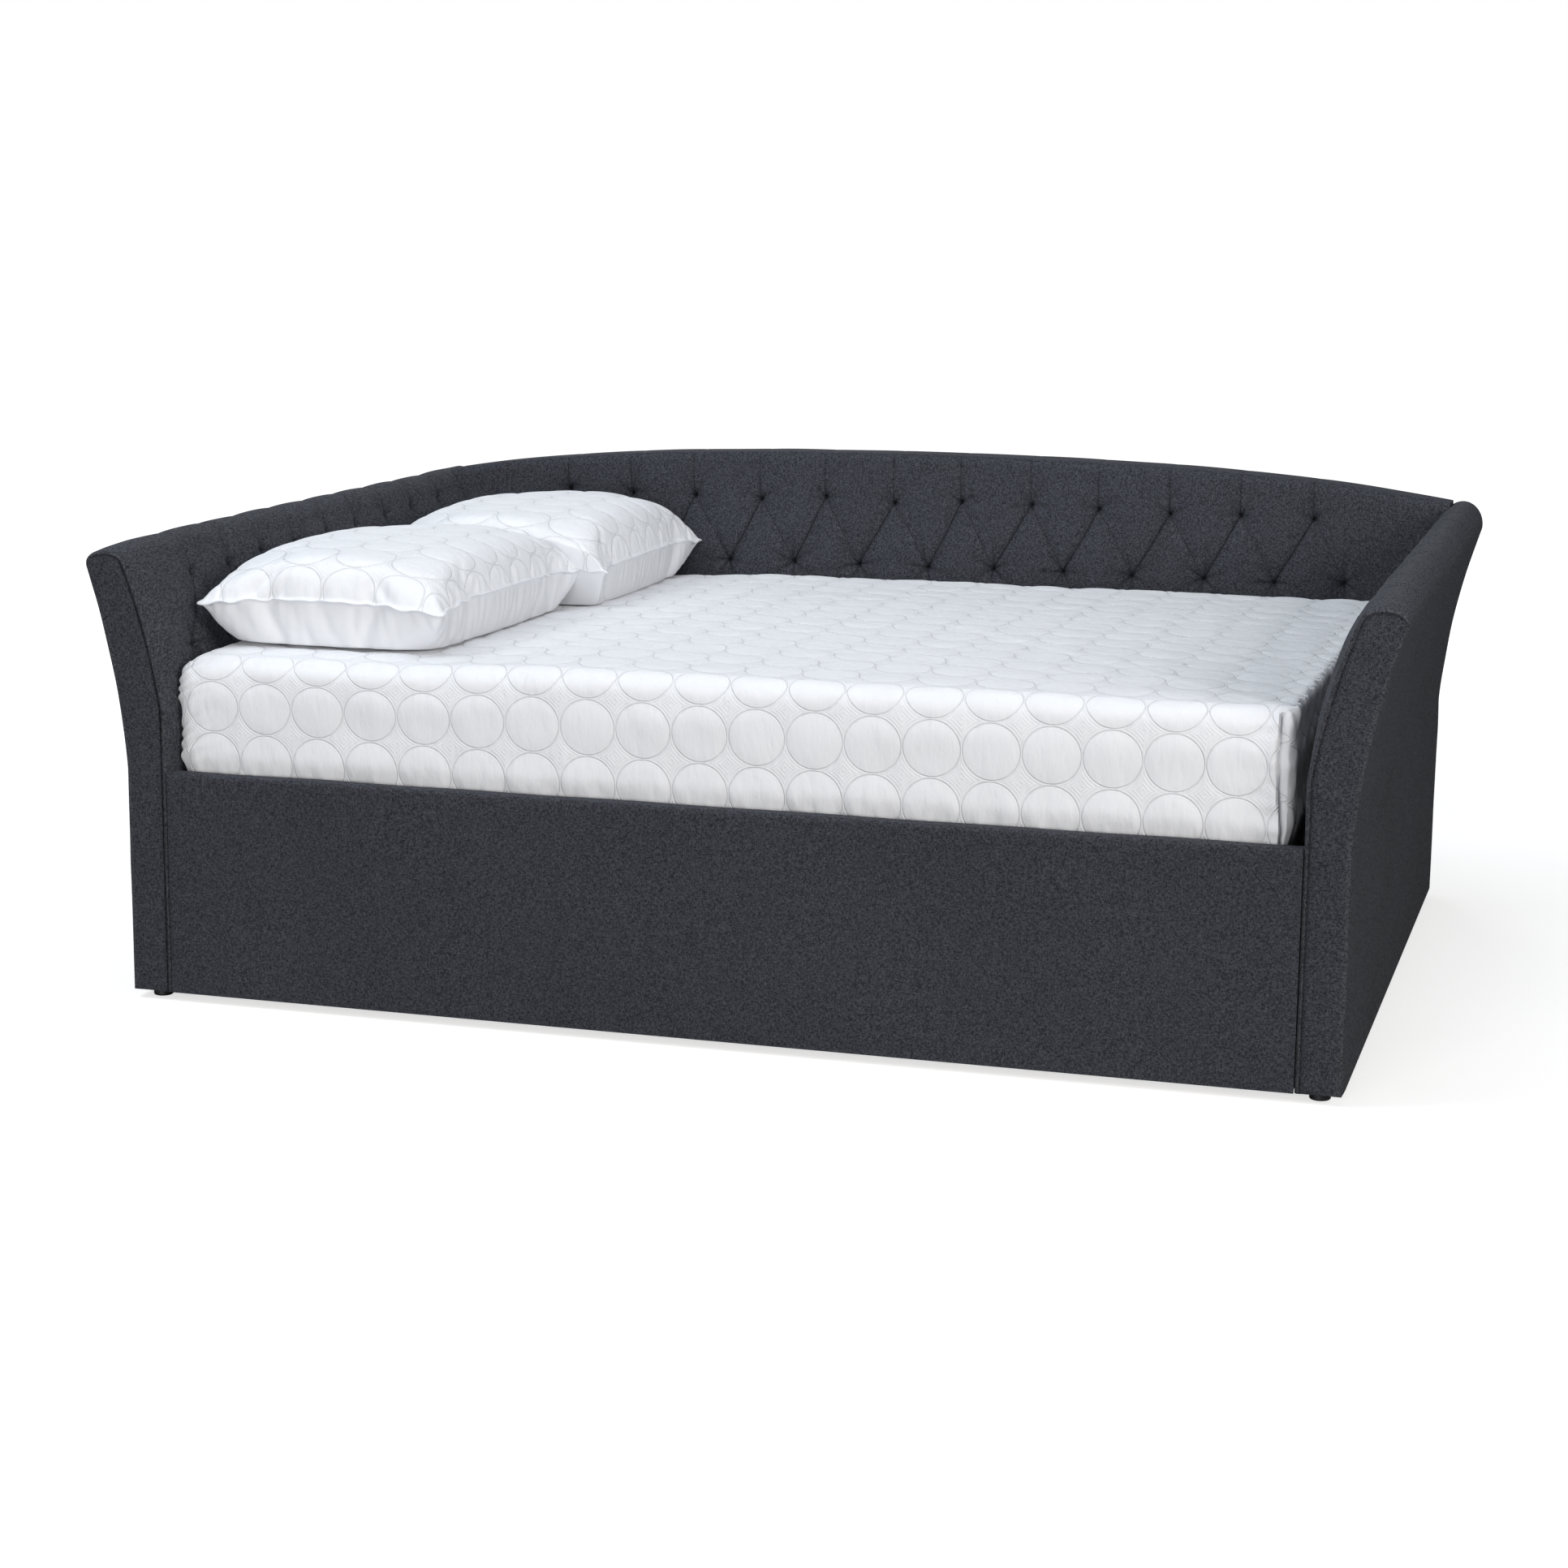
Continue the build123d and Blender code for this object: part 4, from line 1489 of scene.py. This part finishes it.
        dome = self.crown * (1 - (rel[:, 0] / self.half[0]) ** 4) * (1 - (rel[:, 1] / self.half[1]) ** 4)
        sink = self.sink * step(-rel[:, 0], 0.25, 0.6)
        x = plan[:, 0] + way[:, 0] * out_side * lift
        y = plan[:, 1] + way[:, 1] * out_side * lift
        fade = np.maximum(1 - drop / self.settling, 0)
        settled = (dome - sink - 4 * MM) * fade
        z = rel[:, 2] + (drop - new_drop) + out_up * lift + settled
        set_points(piece, np.column_stack([x, y, z]) + self.middle)

    def ruffles(self, flat: np.ndarray, way: np.ndarray, drop: np.ndarray,
                on_side: np.ndarray) -> np.ndarray:
        """Gathers and a fold at the front corners, and puckers where the cover is tucked in.

        Args:
            flat: Positions on the square box.
            way: Outward direction in plan.
            drop: Distance below the top.
            on_side: Which points lie on the sides.

        Returns:
            Height to add along the outward direction.
        """
        lift = np.zeros(len(flat))
        low_edge = self.high[2] - self.rail_top
        tuck = np.exp(-(((drop - low_edge) / (26 * MM)) ** 2)) * on_side
        along = np.where(np.abs(way[:, 1]) > 0.5, flat[:, 0], flat[:, 1])
        lift += tuck * 2.2 * MM * wander(along, drop * 0.25, 0.03, 72)
        lift -= on_side * 9 * MM * step(drop, low_edge - 0.035, low_edge + 0.02)
        from_left = np.hypot(flat[:, 0] - self.low[0], flat[:, 1] - self.low[1])
        gather = np.exp(-((from_left / (46 * MM)) ** 2)) * on_side
        slant = drop + 0.5 * (flat[:, 0] - self.low[0]) - 0.5 * (flat[:, 1] - self.low[1])
        ripple = 2 * math.pi * slant / (30 * MM) + 2.6 * wander(drop, slant, 0.10, 73)
        lift += gather * 2.6 * MM * np.sin(ripple)
        from_right = self.high[0] - flat[:, 0] - 0.013 - 0.006 * np.sin(drop * 18)
        front = (way[:, 1] < -0.3) & on_side
        lift -= np.where(front, 20 * MM * np.exp(-((from_right / (6 * MM)) ** 2)), 0)
        lift += np.where(front, 4 * MM * np.exp(-(((from_right - 11 * MM) / (8 * MM)) ** 2)), 0)
        pull = np.exp(-((np.maximum(from_right - 14 * MM, 0) / (34 * MM)) ** 2))
        lift += np.where(front, 1.8 * MM * pull * wander(drop, from_right * 0.3, 0.03, 74), 0)
        right_side = (way[:, 0] > 0.5) & on_side
        hem = np.exp(-((drop / (30 * MM)) ** 2))
        lift += np.where(right_side, 4.0 * MM * hem * wander(flat[:, 1], drop * 0.1, 0.030, 75), 0)
        return lift

    def build(self, cotton: bpy.types.Material) -> None:
        """Make the covered mattress and hand it to the frame.

        Args:
            cotton: Quilted material.
        """
        piece = self.shell()
        self.quilt_map(piece)
        self.shape(piece)
        smooth(piece, 60)
        piece.data.materials.append(cotton)
        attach(piece, Body.MATTRESS.value)
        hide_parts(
            "quilt_top", "quilt_front", "quilt_rear", "quilt_left", "quilt_right", "mattress_core"
        )
        LOG.info("mattress: %d faces", len(piece.data.polygons))


@dataclass
class StuffedCase:
    """A sewn pillow case, stuffed by cloth simulation, that both pillows are copied from."""

    quilt: RingQuilt
    width: float = 0.508
    length: float = 0.762
    columns: int = 56
    rows: int = 84
    wall: float = 3 * MM
    lip: float = 8 * MM
    gathers: float = 2.2 * MM
    pressure: float = 4.0
    frames: int = 14
    swell: float = 22 * MM
    loose_from_seam: float = 9 * MM

    def flat_case(self) -> bpy.types.Object:
        """Sew two flat panels together round the edge, with the quilt map on the upper one.

        Returns:
            The empty case, centred on the origin, with its seam wall as material 2.
        """
        deselect()
        bpy.ops.mesh.primitive_grid_add(
            x_subdivisions=self.columns, y_subdivisions=self.rows, size=1.0, location=(0, 0, -self.wall / 2)
        )
        piece = bpy.context.object
        piece.scale = (self.width, self.length, 1.0)
        bpy.ops.object.transform_apply(location=True, rotation=True, scale=True)
        piece.name = piece.data.name = "pillow_case"
        bpy.ops.object.mode_set(mode="EDIT")
        bpy.ops.mesh.select_all(action="SELECT")
        bpy.ops.mesh.extrude_region_move(TRANSFORM_OT_translate={"value": (0, 0, self.wall)})
        bpy.ops.mesh.select_all(action="SELECT")
        bpy.ops.mesh.normals_make_consistent(inside=False)
        bpy.ops.object.mode_set(mode="OBJECT")
        mesh = piece.data
        clear_maps(mesh)
        store_map(mesh, "quilt", points_of(piece)[corner_vertices(mesh)][:, :2] / self.quilt.pitch)
        up = face_normals(mesh)[:, 2]
        kinds = np.where(up > 0.5, 0, np.where(up < -0.5, 1, 2)).astype(np.int32)
        mesh.polygons.foreach_set("material_index", kinds)
        return piece

    def stuff(self, piece: bpy.types.Object) -> None:
        """Fill the case with a cloth simulation, and leave its result in the mesh.

        Args:
            piece: The empty case.
        """
        rest = points_of(piece)
        edge = np.minimum(self.width / 2 - np.abs(rest[:, 0]), self.length / 2 - np.abs(rest[:, 1]))
        swell = self.swell * (1 - np.exp(-edge / (60 * MM)))
        rest[:, 2] += np.sign(rest[:, 2]) * swell + 0.4 * MM * wander(rest[:, 0], rest[:, 1], 0.07, 81)
        set_points(piece, rest)
        self.simulate(piece)
        stuffed = points_of(piece)
        level = np.sign(rest[:, 2]) * self.wall / 2
        loose = 1 - np.exp(-edge / self.loose_from_seam)
        stuffed[:, 2] = level + (stuffed[:, 2] - level) * loose
        set_points(piece, stuffed)
        self.ease_sides(piece)

    def simulate(self, piece: bpy.types.Object) -> None:
        """Inflate the case as cloth under pressure, and apply the result.

        Args:
            piece: The case, swollen a little so that its two panels stand apart.
        """
        cloth = piece.modifiers.new("cloth", "CLOTH")
        settings = cloth.settings
        settings.quality = 6
        settings.mass = 0.3
        settings.tension_stiffness = 15
        settings.compression_stiffness = 9
        settings.shear_stiffness = 5
        settings.bending_stiffness = 0.5
        settings.use_pressure = True
        settings.uniform_pressure_force = self.pressure
        settings.effector_weights.gravity = 0.0
        cloth.collision_settings.use_collision = False
        cloth.collision_settings.use_self_collision = False
        cloth.point_cache.frame_start = 1
        cloth.point_cache.frame_end = self.frames
        scene = bpy.context.scene
        for number in range(1, self.frames + 1):
            scene.frame_set(number)
        apply_all(piece)
        scene.frame_set(1)

    def ease_sides(self, piece: bpy.types.Object) -> None:
        """Let the drawn-in long and short sides out again, part of the way.

        Args:
            piece: The stuffed case.
        """
        points = points_of(piece)
        across, along = np.abs(points[:, 0]).max(), np.abs(points[:, 1]).max()
        points[:, 0] *= 1 + 0.15 * np.clip(1 - (points[:, 1] / along) ** 2, 0, 1)
        points[:, 1] *= 1 + 0.09 * np.clip(1 - (points[:, 0] / across) ** 2, 0, 1)
        set_points(piece, points)

    def sew(self, piece: bpy.types.Object) -> None:
        """Draw out the seam into a thin lip, smooth the case and raise its quilting.

        Args:
            piece: The stuffed case.
        """
        kinds = face_materials(piece.data)
        activate(piece)
        bpy.ops.object.mode_set(mode="EDIT")
        bpy.ops.mesh.select_mode(type="FACE")
        bpy.ops.mesh.select_all(action="DESELECT")
        bpy.ops.object.mode_set(mode="OBJECT")
        piece.data.polygons.foreach_set("select", kinds == 2)
        bpy.ops.object.mode_set(mode="EDIT")
        bpy.ops.mesh.extrude_region_shrink_fatten(TRANSFORM_OT_shrink_fatten={"value": self.lip})
        bpy.ops.object.mode_set(mode="OBJECT")
        finer = piece.modifiers.new("finer", "SUBSURF")
        finer.levels = finer.render_levels = 1
        apply_all(piece)
        mesh = piece.data
        corners = corner_vertices(mesh)
        uv = np.empty(len(mesh.loops) * 2)
        mesh.uv_layers["quilt"].data.foreach_get("uv", uv)
        flat = np.zeros((len(mesh.vertices), 2))
        flat[corners] = uv.reshape(-1, 2)
        kinds, totals = face_materials(mesh), corner_counts(mesh)
        top = np.zeros(len(mesh.vertices), dtype=bool)
        top[corners[np.repeat(kinds == 0, totals)]] = True
        side = np.zeros(len(mesh.vertices), dtype=bool)
        side[corners[np.repeat(kinds != 0, totals)]] = True
        lift = self.quilt.lift(flat[:, 0], flat[:, 1]) * (top & ~side)
        x, y = flat.T * self.quilt.pitch
        to_side, to_end = self.width / 2 - np.abs(x), self.length / 2 - np.abs(y)
        along = np.where(to_side < to_end, y, x + 3.0)
        inset = np.minimum(to_side, to_end)
        gather = np.exp(-inset / (30 * MM)) * (1 - np.exp(-inset / (6 * MM)))
        lift += self.gathers * gather * wander(along, inset * 0.3, 0.022, 82)
        set_points(piece, points_of(piece) + normals_of(piece) * lift[:, None])

    def build(self) -> bpy.types.Object:
        """Make the stuffed case.

        Returns:
            The case, centred on the origin.
        """
        piece = self.flat_case()
        self.stuff(piece)
        self.sew(piece)
        return piece


@dataclass
class Pillow:
    """One pillow, laid on the mattress against the left arm."""

    body: Body
    centre: tuple[float, float]
    turn: float
    seam_height: float
    above: float
    below: float
    near_lift: float
    contact: float
    contact_sign: int
    flip: bool = False
    arch: float = 15 * MM
    contact_height: float = 0.740
    contact_lean: float = 0.54

    def lay(self, case: bpy.types.Object, bed: float) -> bpy.types.Object:
        """Copy the stuffed case and settle it on the bed.

        Args:
            case: The stuffed case to copy.
            bed: Height of the mattress's top under the pillow.

        Returns:
            The pillow.
        """
        piece = case.copy()
        piece.data = case.data.copy()
        piece.name = piece.data.name = f"{self.body.value}_stuffed"
        bpy.context.scene.collection.objects.link(piece)
        points = points_of(piece)
        if self.flip:
            points[:, :2] *= -1
        top, bottom = points[:, 2].max(), -points[:, 2].min()
        z = np.where(points[:, 2] > 0, points[:, 2] * self.above / top, points[:, 2] * self.below / bottom)
        half_x, half = np.ptp(points[:, 0]) / 2, np.ptp(points[:, 1]) / 2
        z += self.arch * (1 - (np.abs(points[:, 0] / half_x) * np.abs(points[:, 1] / half)) ** 2)
        cos, sin = math.cos(math.radians(self.turn)), math.sin(math.radians(self.turn))
        x = points[:, 0] * cos - points[:, 1] * sin + self.centre[0]
        y = points[:, 0] * sin + points[:, 1] * cos + self.centre[1]
        z = z + self.seam_height + self.near_lift * step(-(y - self.centre[1]), half * 0.2, half)
        z = np.where(z < bed, bed + 3 * MM * np.expm1(np.minimum(z - bed, 0) / (22 * MM)), z)
        wall = self.contact + self.contact_lean * (self.contact_height - z)
        gap = self.contact_sign * (y - wall) - 1.5 * MM
        y = y - self.contact_sign * 0.85 * np.minimum(gap, 0)
        set_points(piece, np.column_stack([x, y, z]))
        return piece

    def build(self, case: bpy.types.Object, bed: float, cloths: Iterable[bpy.types.Material]) -> None:
        """Make the pillow and hand it to the frame.

        Args:
            case: The stuffed case to copy.
            bed: Height of the mattress's top.
            cloths: Materials of the top, the underside and the seam.
        """
        piece = self.lay(case, bed)
        for cloth in cloths:
            piece.data.materials.append(cloth)
        smooth(piece, 70)
        name = self.body.value
        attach(piece, name)
        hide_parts(f"{name}_cover", f"{name}_filling")
        LOG.info("%s: %d faces", piece.name, len(piece.data.polygons))


# ---------------------------------------------------------------- frame parts and studio


@dataclass
class BareFrame:
    """Timber, boards, feet and fasteners that the CAD gives their shape."""

    def dress(self) -> None:
        """Give each of the frame's own nodes its finish."""
        lengthwise = SawnWood("pine_lengthwise").material()
        crosswise = SawnWood("pine_crosswise", along=(14.0, 1.0, 14.0)).material()
        upright = SawnWood("pine_upright", along=(14.0, 14.0, 1.0)).material()
        board = SawnWood("birch_ply", (0.66, 0.50, 0.32), (0.50, 0.35, 0.20), (2.0, 9.0, 9.0)).material()
        foam = CutFoam().material()
        plastic, steel = MouldedPlastic().material(), ZincSteel().material()
        slots = {part["node"]: part["material_slot"] for part in frame["record"]["subparts"]}
        for node, piece in frame["nodes"].items():
            slot = slots[node]
            if slot == "frame_lumber":
                low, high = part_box(node)
                size = [high[axis] - low[axis] for axis in range(3)]
                finish = (lengthwise, crosswise, upright)[size.index(max(size))]
            else:
                finish = {"plywood": board, "padding_foam": foam, "glide_plastic": plastic,
                          "steel_hardware": steel}.get(slot)
            if finish is not None:
                piece.data.materials.clear()
                piece.data.materials.append(finish)
        LOG.info("frame: %d nodes dressed", len(frame["nodes"]))


@dataclass
class Studio:
    """White studio: floor, soft lights and the camera."""

    camera_place: tuple = (1.5971, -5.6946, 1.4456)
    azimuth: float = 16.624
    elevation: float = 10.753
    roll: float = 0.531
    lens: float = 69.43
    floor_glow: float = 0.66

    def floor(self) -> None:
        """Lay a wide pale floor."""
        deselect()
        bpy.ops.mesh.primitive_plane_add(size=60.0, location=(0, 0, 0))
        ground = bpy.context.object
        ground.name = "studio_floor"
        sheet = NodeSheet("studio_white")
        grain = sheet.noise(3.0, 2.0)
        tone = sheet.ramp(grain, (0.3, (0.58, 0.58, 0.58)), (0.7, (0.60, 0.60, 0.60)))
        far = sheet.add("VectorMath", {0: sheet.place()}, operation="LENGTH").outputs["Value"]
        glow = sheet.add("MapRange", {0: far, 1: 2.2, 2: 5.0, 3: self.floor_glow, 4: 1.05}).outputs[0]
        sheet.shade(Base_Color=tone, Roughness=0.9, Emission_Color=(1, 1, 1, 1), Emission_Strength=glow)
        bounce = sheet.add("BsdfDiffuse", {"Color": (0.30, 0.30, 0.31, 1.0)})
        seen = sheet.add("LightPath").outputs["Is Camera Ray"]
        mixed = sheet.add("MixShader", {0: seen, 1: bounce.outputs[0], 2: sheet.shader.outputs[0]})
        sheet.put(sheet.tree.nodes["Material Output"].inputs["Surface"], mixed.outputs[0])
        ground.data.materials.append(sheet.material)

    def lights(self) -> None:
        """Hang the softboxes and set the surrounding light."""
        plan = [
            ("key", (-3.2, -1.6, 4.2), 2.6, 98.0, (0.88, 0.94, 1.0)),
            ("top", (0.0, -0.3, 4.6), 3.5, 90.0, (0.88, 0.94, 1.0)),
            ("front", (-0.5, -9.0, 1.4), 4.0, 425.0, (1.0, 0.99, 0.97)),
            ("right", (6.5, -4.0, 3.0), 3.0, 320.0, (1.0, 0.97, 0.93)),
            ("rear", (-2.5, 6.0, 3.0), 3.0, 60.0, (1.0, 1.0, 1.0)),
        ]
        aim = Vector((0.0, 0.0, 0.5))
        for name, place, size, power, tint in plan:
            deselect()
            bpy.ops.object.light_add(type="AREA", location=place)
            light = bpy.context.object
            light.name = f"softbox_{name}"
            light.data.shape = "SQUARE"
            light.data.size = size
            light.data.energy = power
            light.data.color = tint
            light.rotation_euler = (aim - Vector(place)).to_track_quat("-Z", "Y").to_euler()
        world = bpy.data.worlds.new("studio_world")
        bpy.context.scene.world = world
        world.use_nodes = True
        nodes, links = world.node_tree.nodes, world.node_tree.links
        nodes["Background"].inputs["Color"].default_value = (0.92, 0.95, 1.0, 1.0)
        nodes["Background"].inputs["Strength"].default_value = 0.05
        seen = nodes.new("ShaderNodeBackground")
        seen.inputs["Color"].default_value = (1.0, 1.0, 1.0, 1.0)
        seen.inputs["Strength"].default_value = 1.0
        path, mix = nodes.new("ShaderNodeLightPath"), nodes.new("ShaderNodeMixShader")
        links.new(path.outputs["Is Camera Ray"], mix.inputs[0])
        links.new(nodes["Background"].outputs[0], mix.inputs[1])
        links.new(seen.outputs[0], mix.inputs[2])
        links.new(mix.outputs[0], nodes["World Output"].inputs["Surface"])
        bpy.context.scene.view_settings.view_transform = "Standard"

    def camera(self) -> None:
        """Stand the camera at its place, rolled very slightly."""
        turn, tilt, roll = (math.radians(angle) for angle in (self.azimuth, self.elevation, self.roll))
        back = Vector((math.sin(turn) * math.cos(tilt), -math.cos(turn) * math.cos(tilt), math.sin(tilt)))
        right = Vector((math.cos(turn), math.sin(turn), 0))
        up = back.cross(right)
        level_right = right * math.cos(roll) + up * math.sin(roll)
        level_up = up * math.cos(roll) - right * math.sin(roll)
        deselect()
        bpy.ops.object.camera_add(location=self.camera_place)
        camera = bpy.context.object
        camera.name = "studio_camera"
        axes = Matrix((level_right, level_up, back)).transposed().to_4x4()
        camera.matrix_world = Matrix.Translation(self.camera_place) @ axes
        camera.data.lens = self.lens
        camera.data.sensor_width = 36.0
        camera.data.clip_end = 200.0
        bpy.context.scene.camera = camera

    def build(self) -> None:
        """Set up the whole studio."""
        self.floor()
        self.lights()
        self.camera()
        LOG.info("studio: ready")


def main() -> None:
    """Build the daybed's looks round its frame, in order, and write down how large both are."""
    logging.basicConfig(level=logging.INFO, format="%(name)s %(message)s")
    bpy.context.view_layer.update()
    Studio().build()
    linen = HeatheredLinen().material()
    # Linen with a painted shadow along the arm facings' sewn rim.
    seam_shadowed_linen = HeatheredLinen(seam_shadowed=True).material()
    back_linen = HeatheredLinen(tufted=True).material()
    # The arms get a lighter copy of the same linen: painted light, to brighten their pads.
    lightened_arm_linen = HeatheredLinen(
        (0.0220, 0.0235, 0.0275), (0.0850, 0.0870, 0.0990),
        tufted=True, tuft_columns=9.0, pitch=0.1505, rise=0.135,
    ).material()
    quilted = QuiltedCotton().material()
    cotton = PlainCotton().material()
    BareFrame().dress()
    profile = ArmProfile()
    for side in Side:
        Arm(side, profile).build(seam_shadowed_linen, lightened_arm_linen)
    Back(profile).build(linen, back_linen)
    FrontRail().build(linen)
    mattress = Mattress(RingQuilt(2.6 * MM))
    mattress.build(quilted)
    case = StuffedCase(RingQuilt(3.4 * MM)).build()
    bed = float(mattress.high[2]) - PILLOW_DENT
    pillows = [
        Pillow(
            Body.PILLOW_FRONT, centre=(-0.793, -0.306), turn=0.0, seam_height=0.719, above=0.088,
            below=0.150, near_lift=0.0, contact=0.030, contact_sign=-1,
        ),
        Pillow(
            Body.PILLOW_REAR, centre=(-0.750, 0.347), turn=2.0, seam_height=0.715, above=0.106,
            below=0.150, near_lift=0.004, contact=0.030, contact_sign=1, flip=True,
        ),
    ]
    for pillow in pillows:
        pillow.build(case, bed, (quilted, cotton, cotton))
    bpy.data.objects.remove(case)


if __name__ == "__main__":
    main()
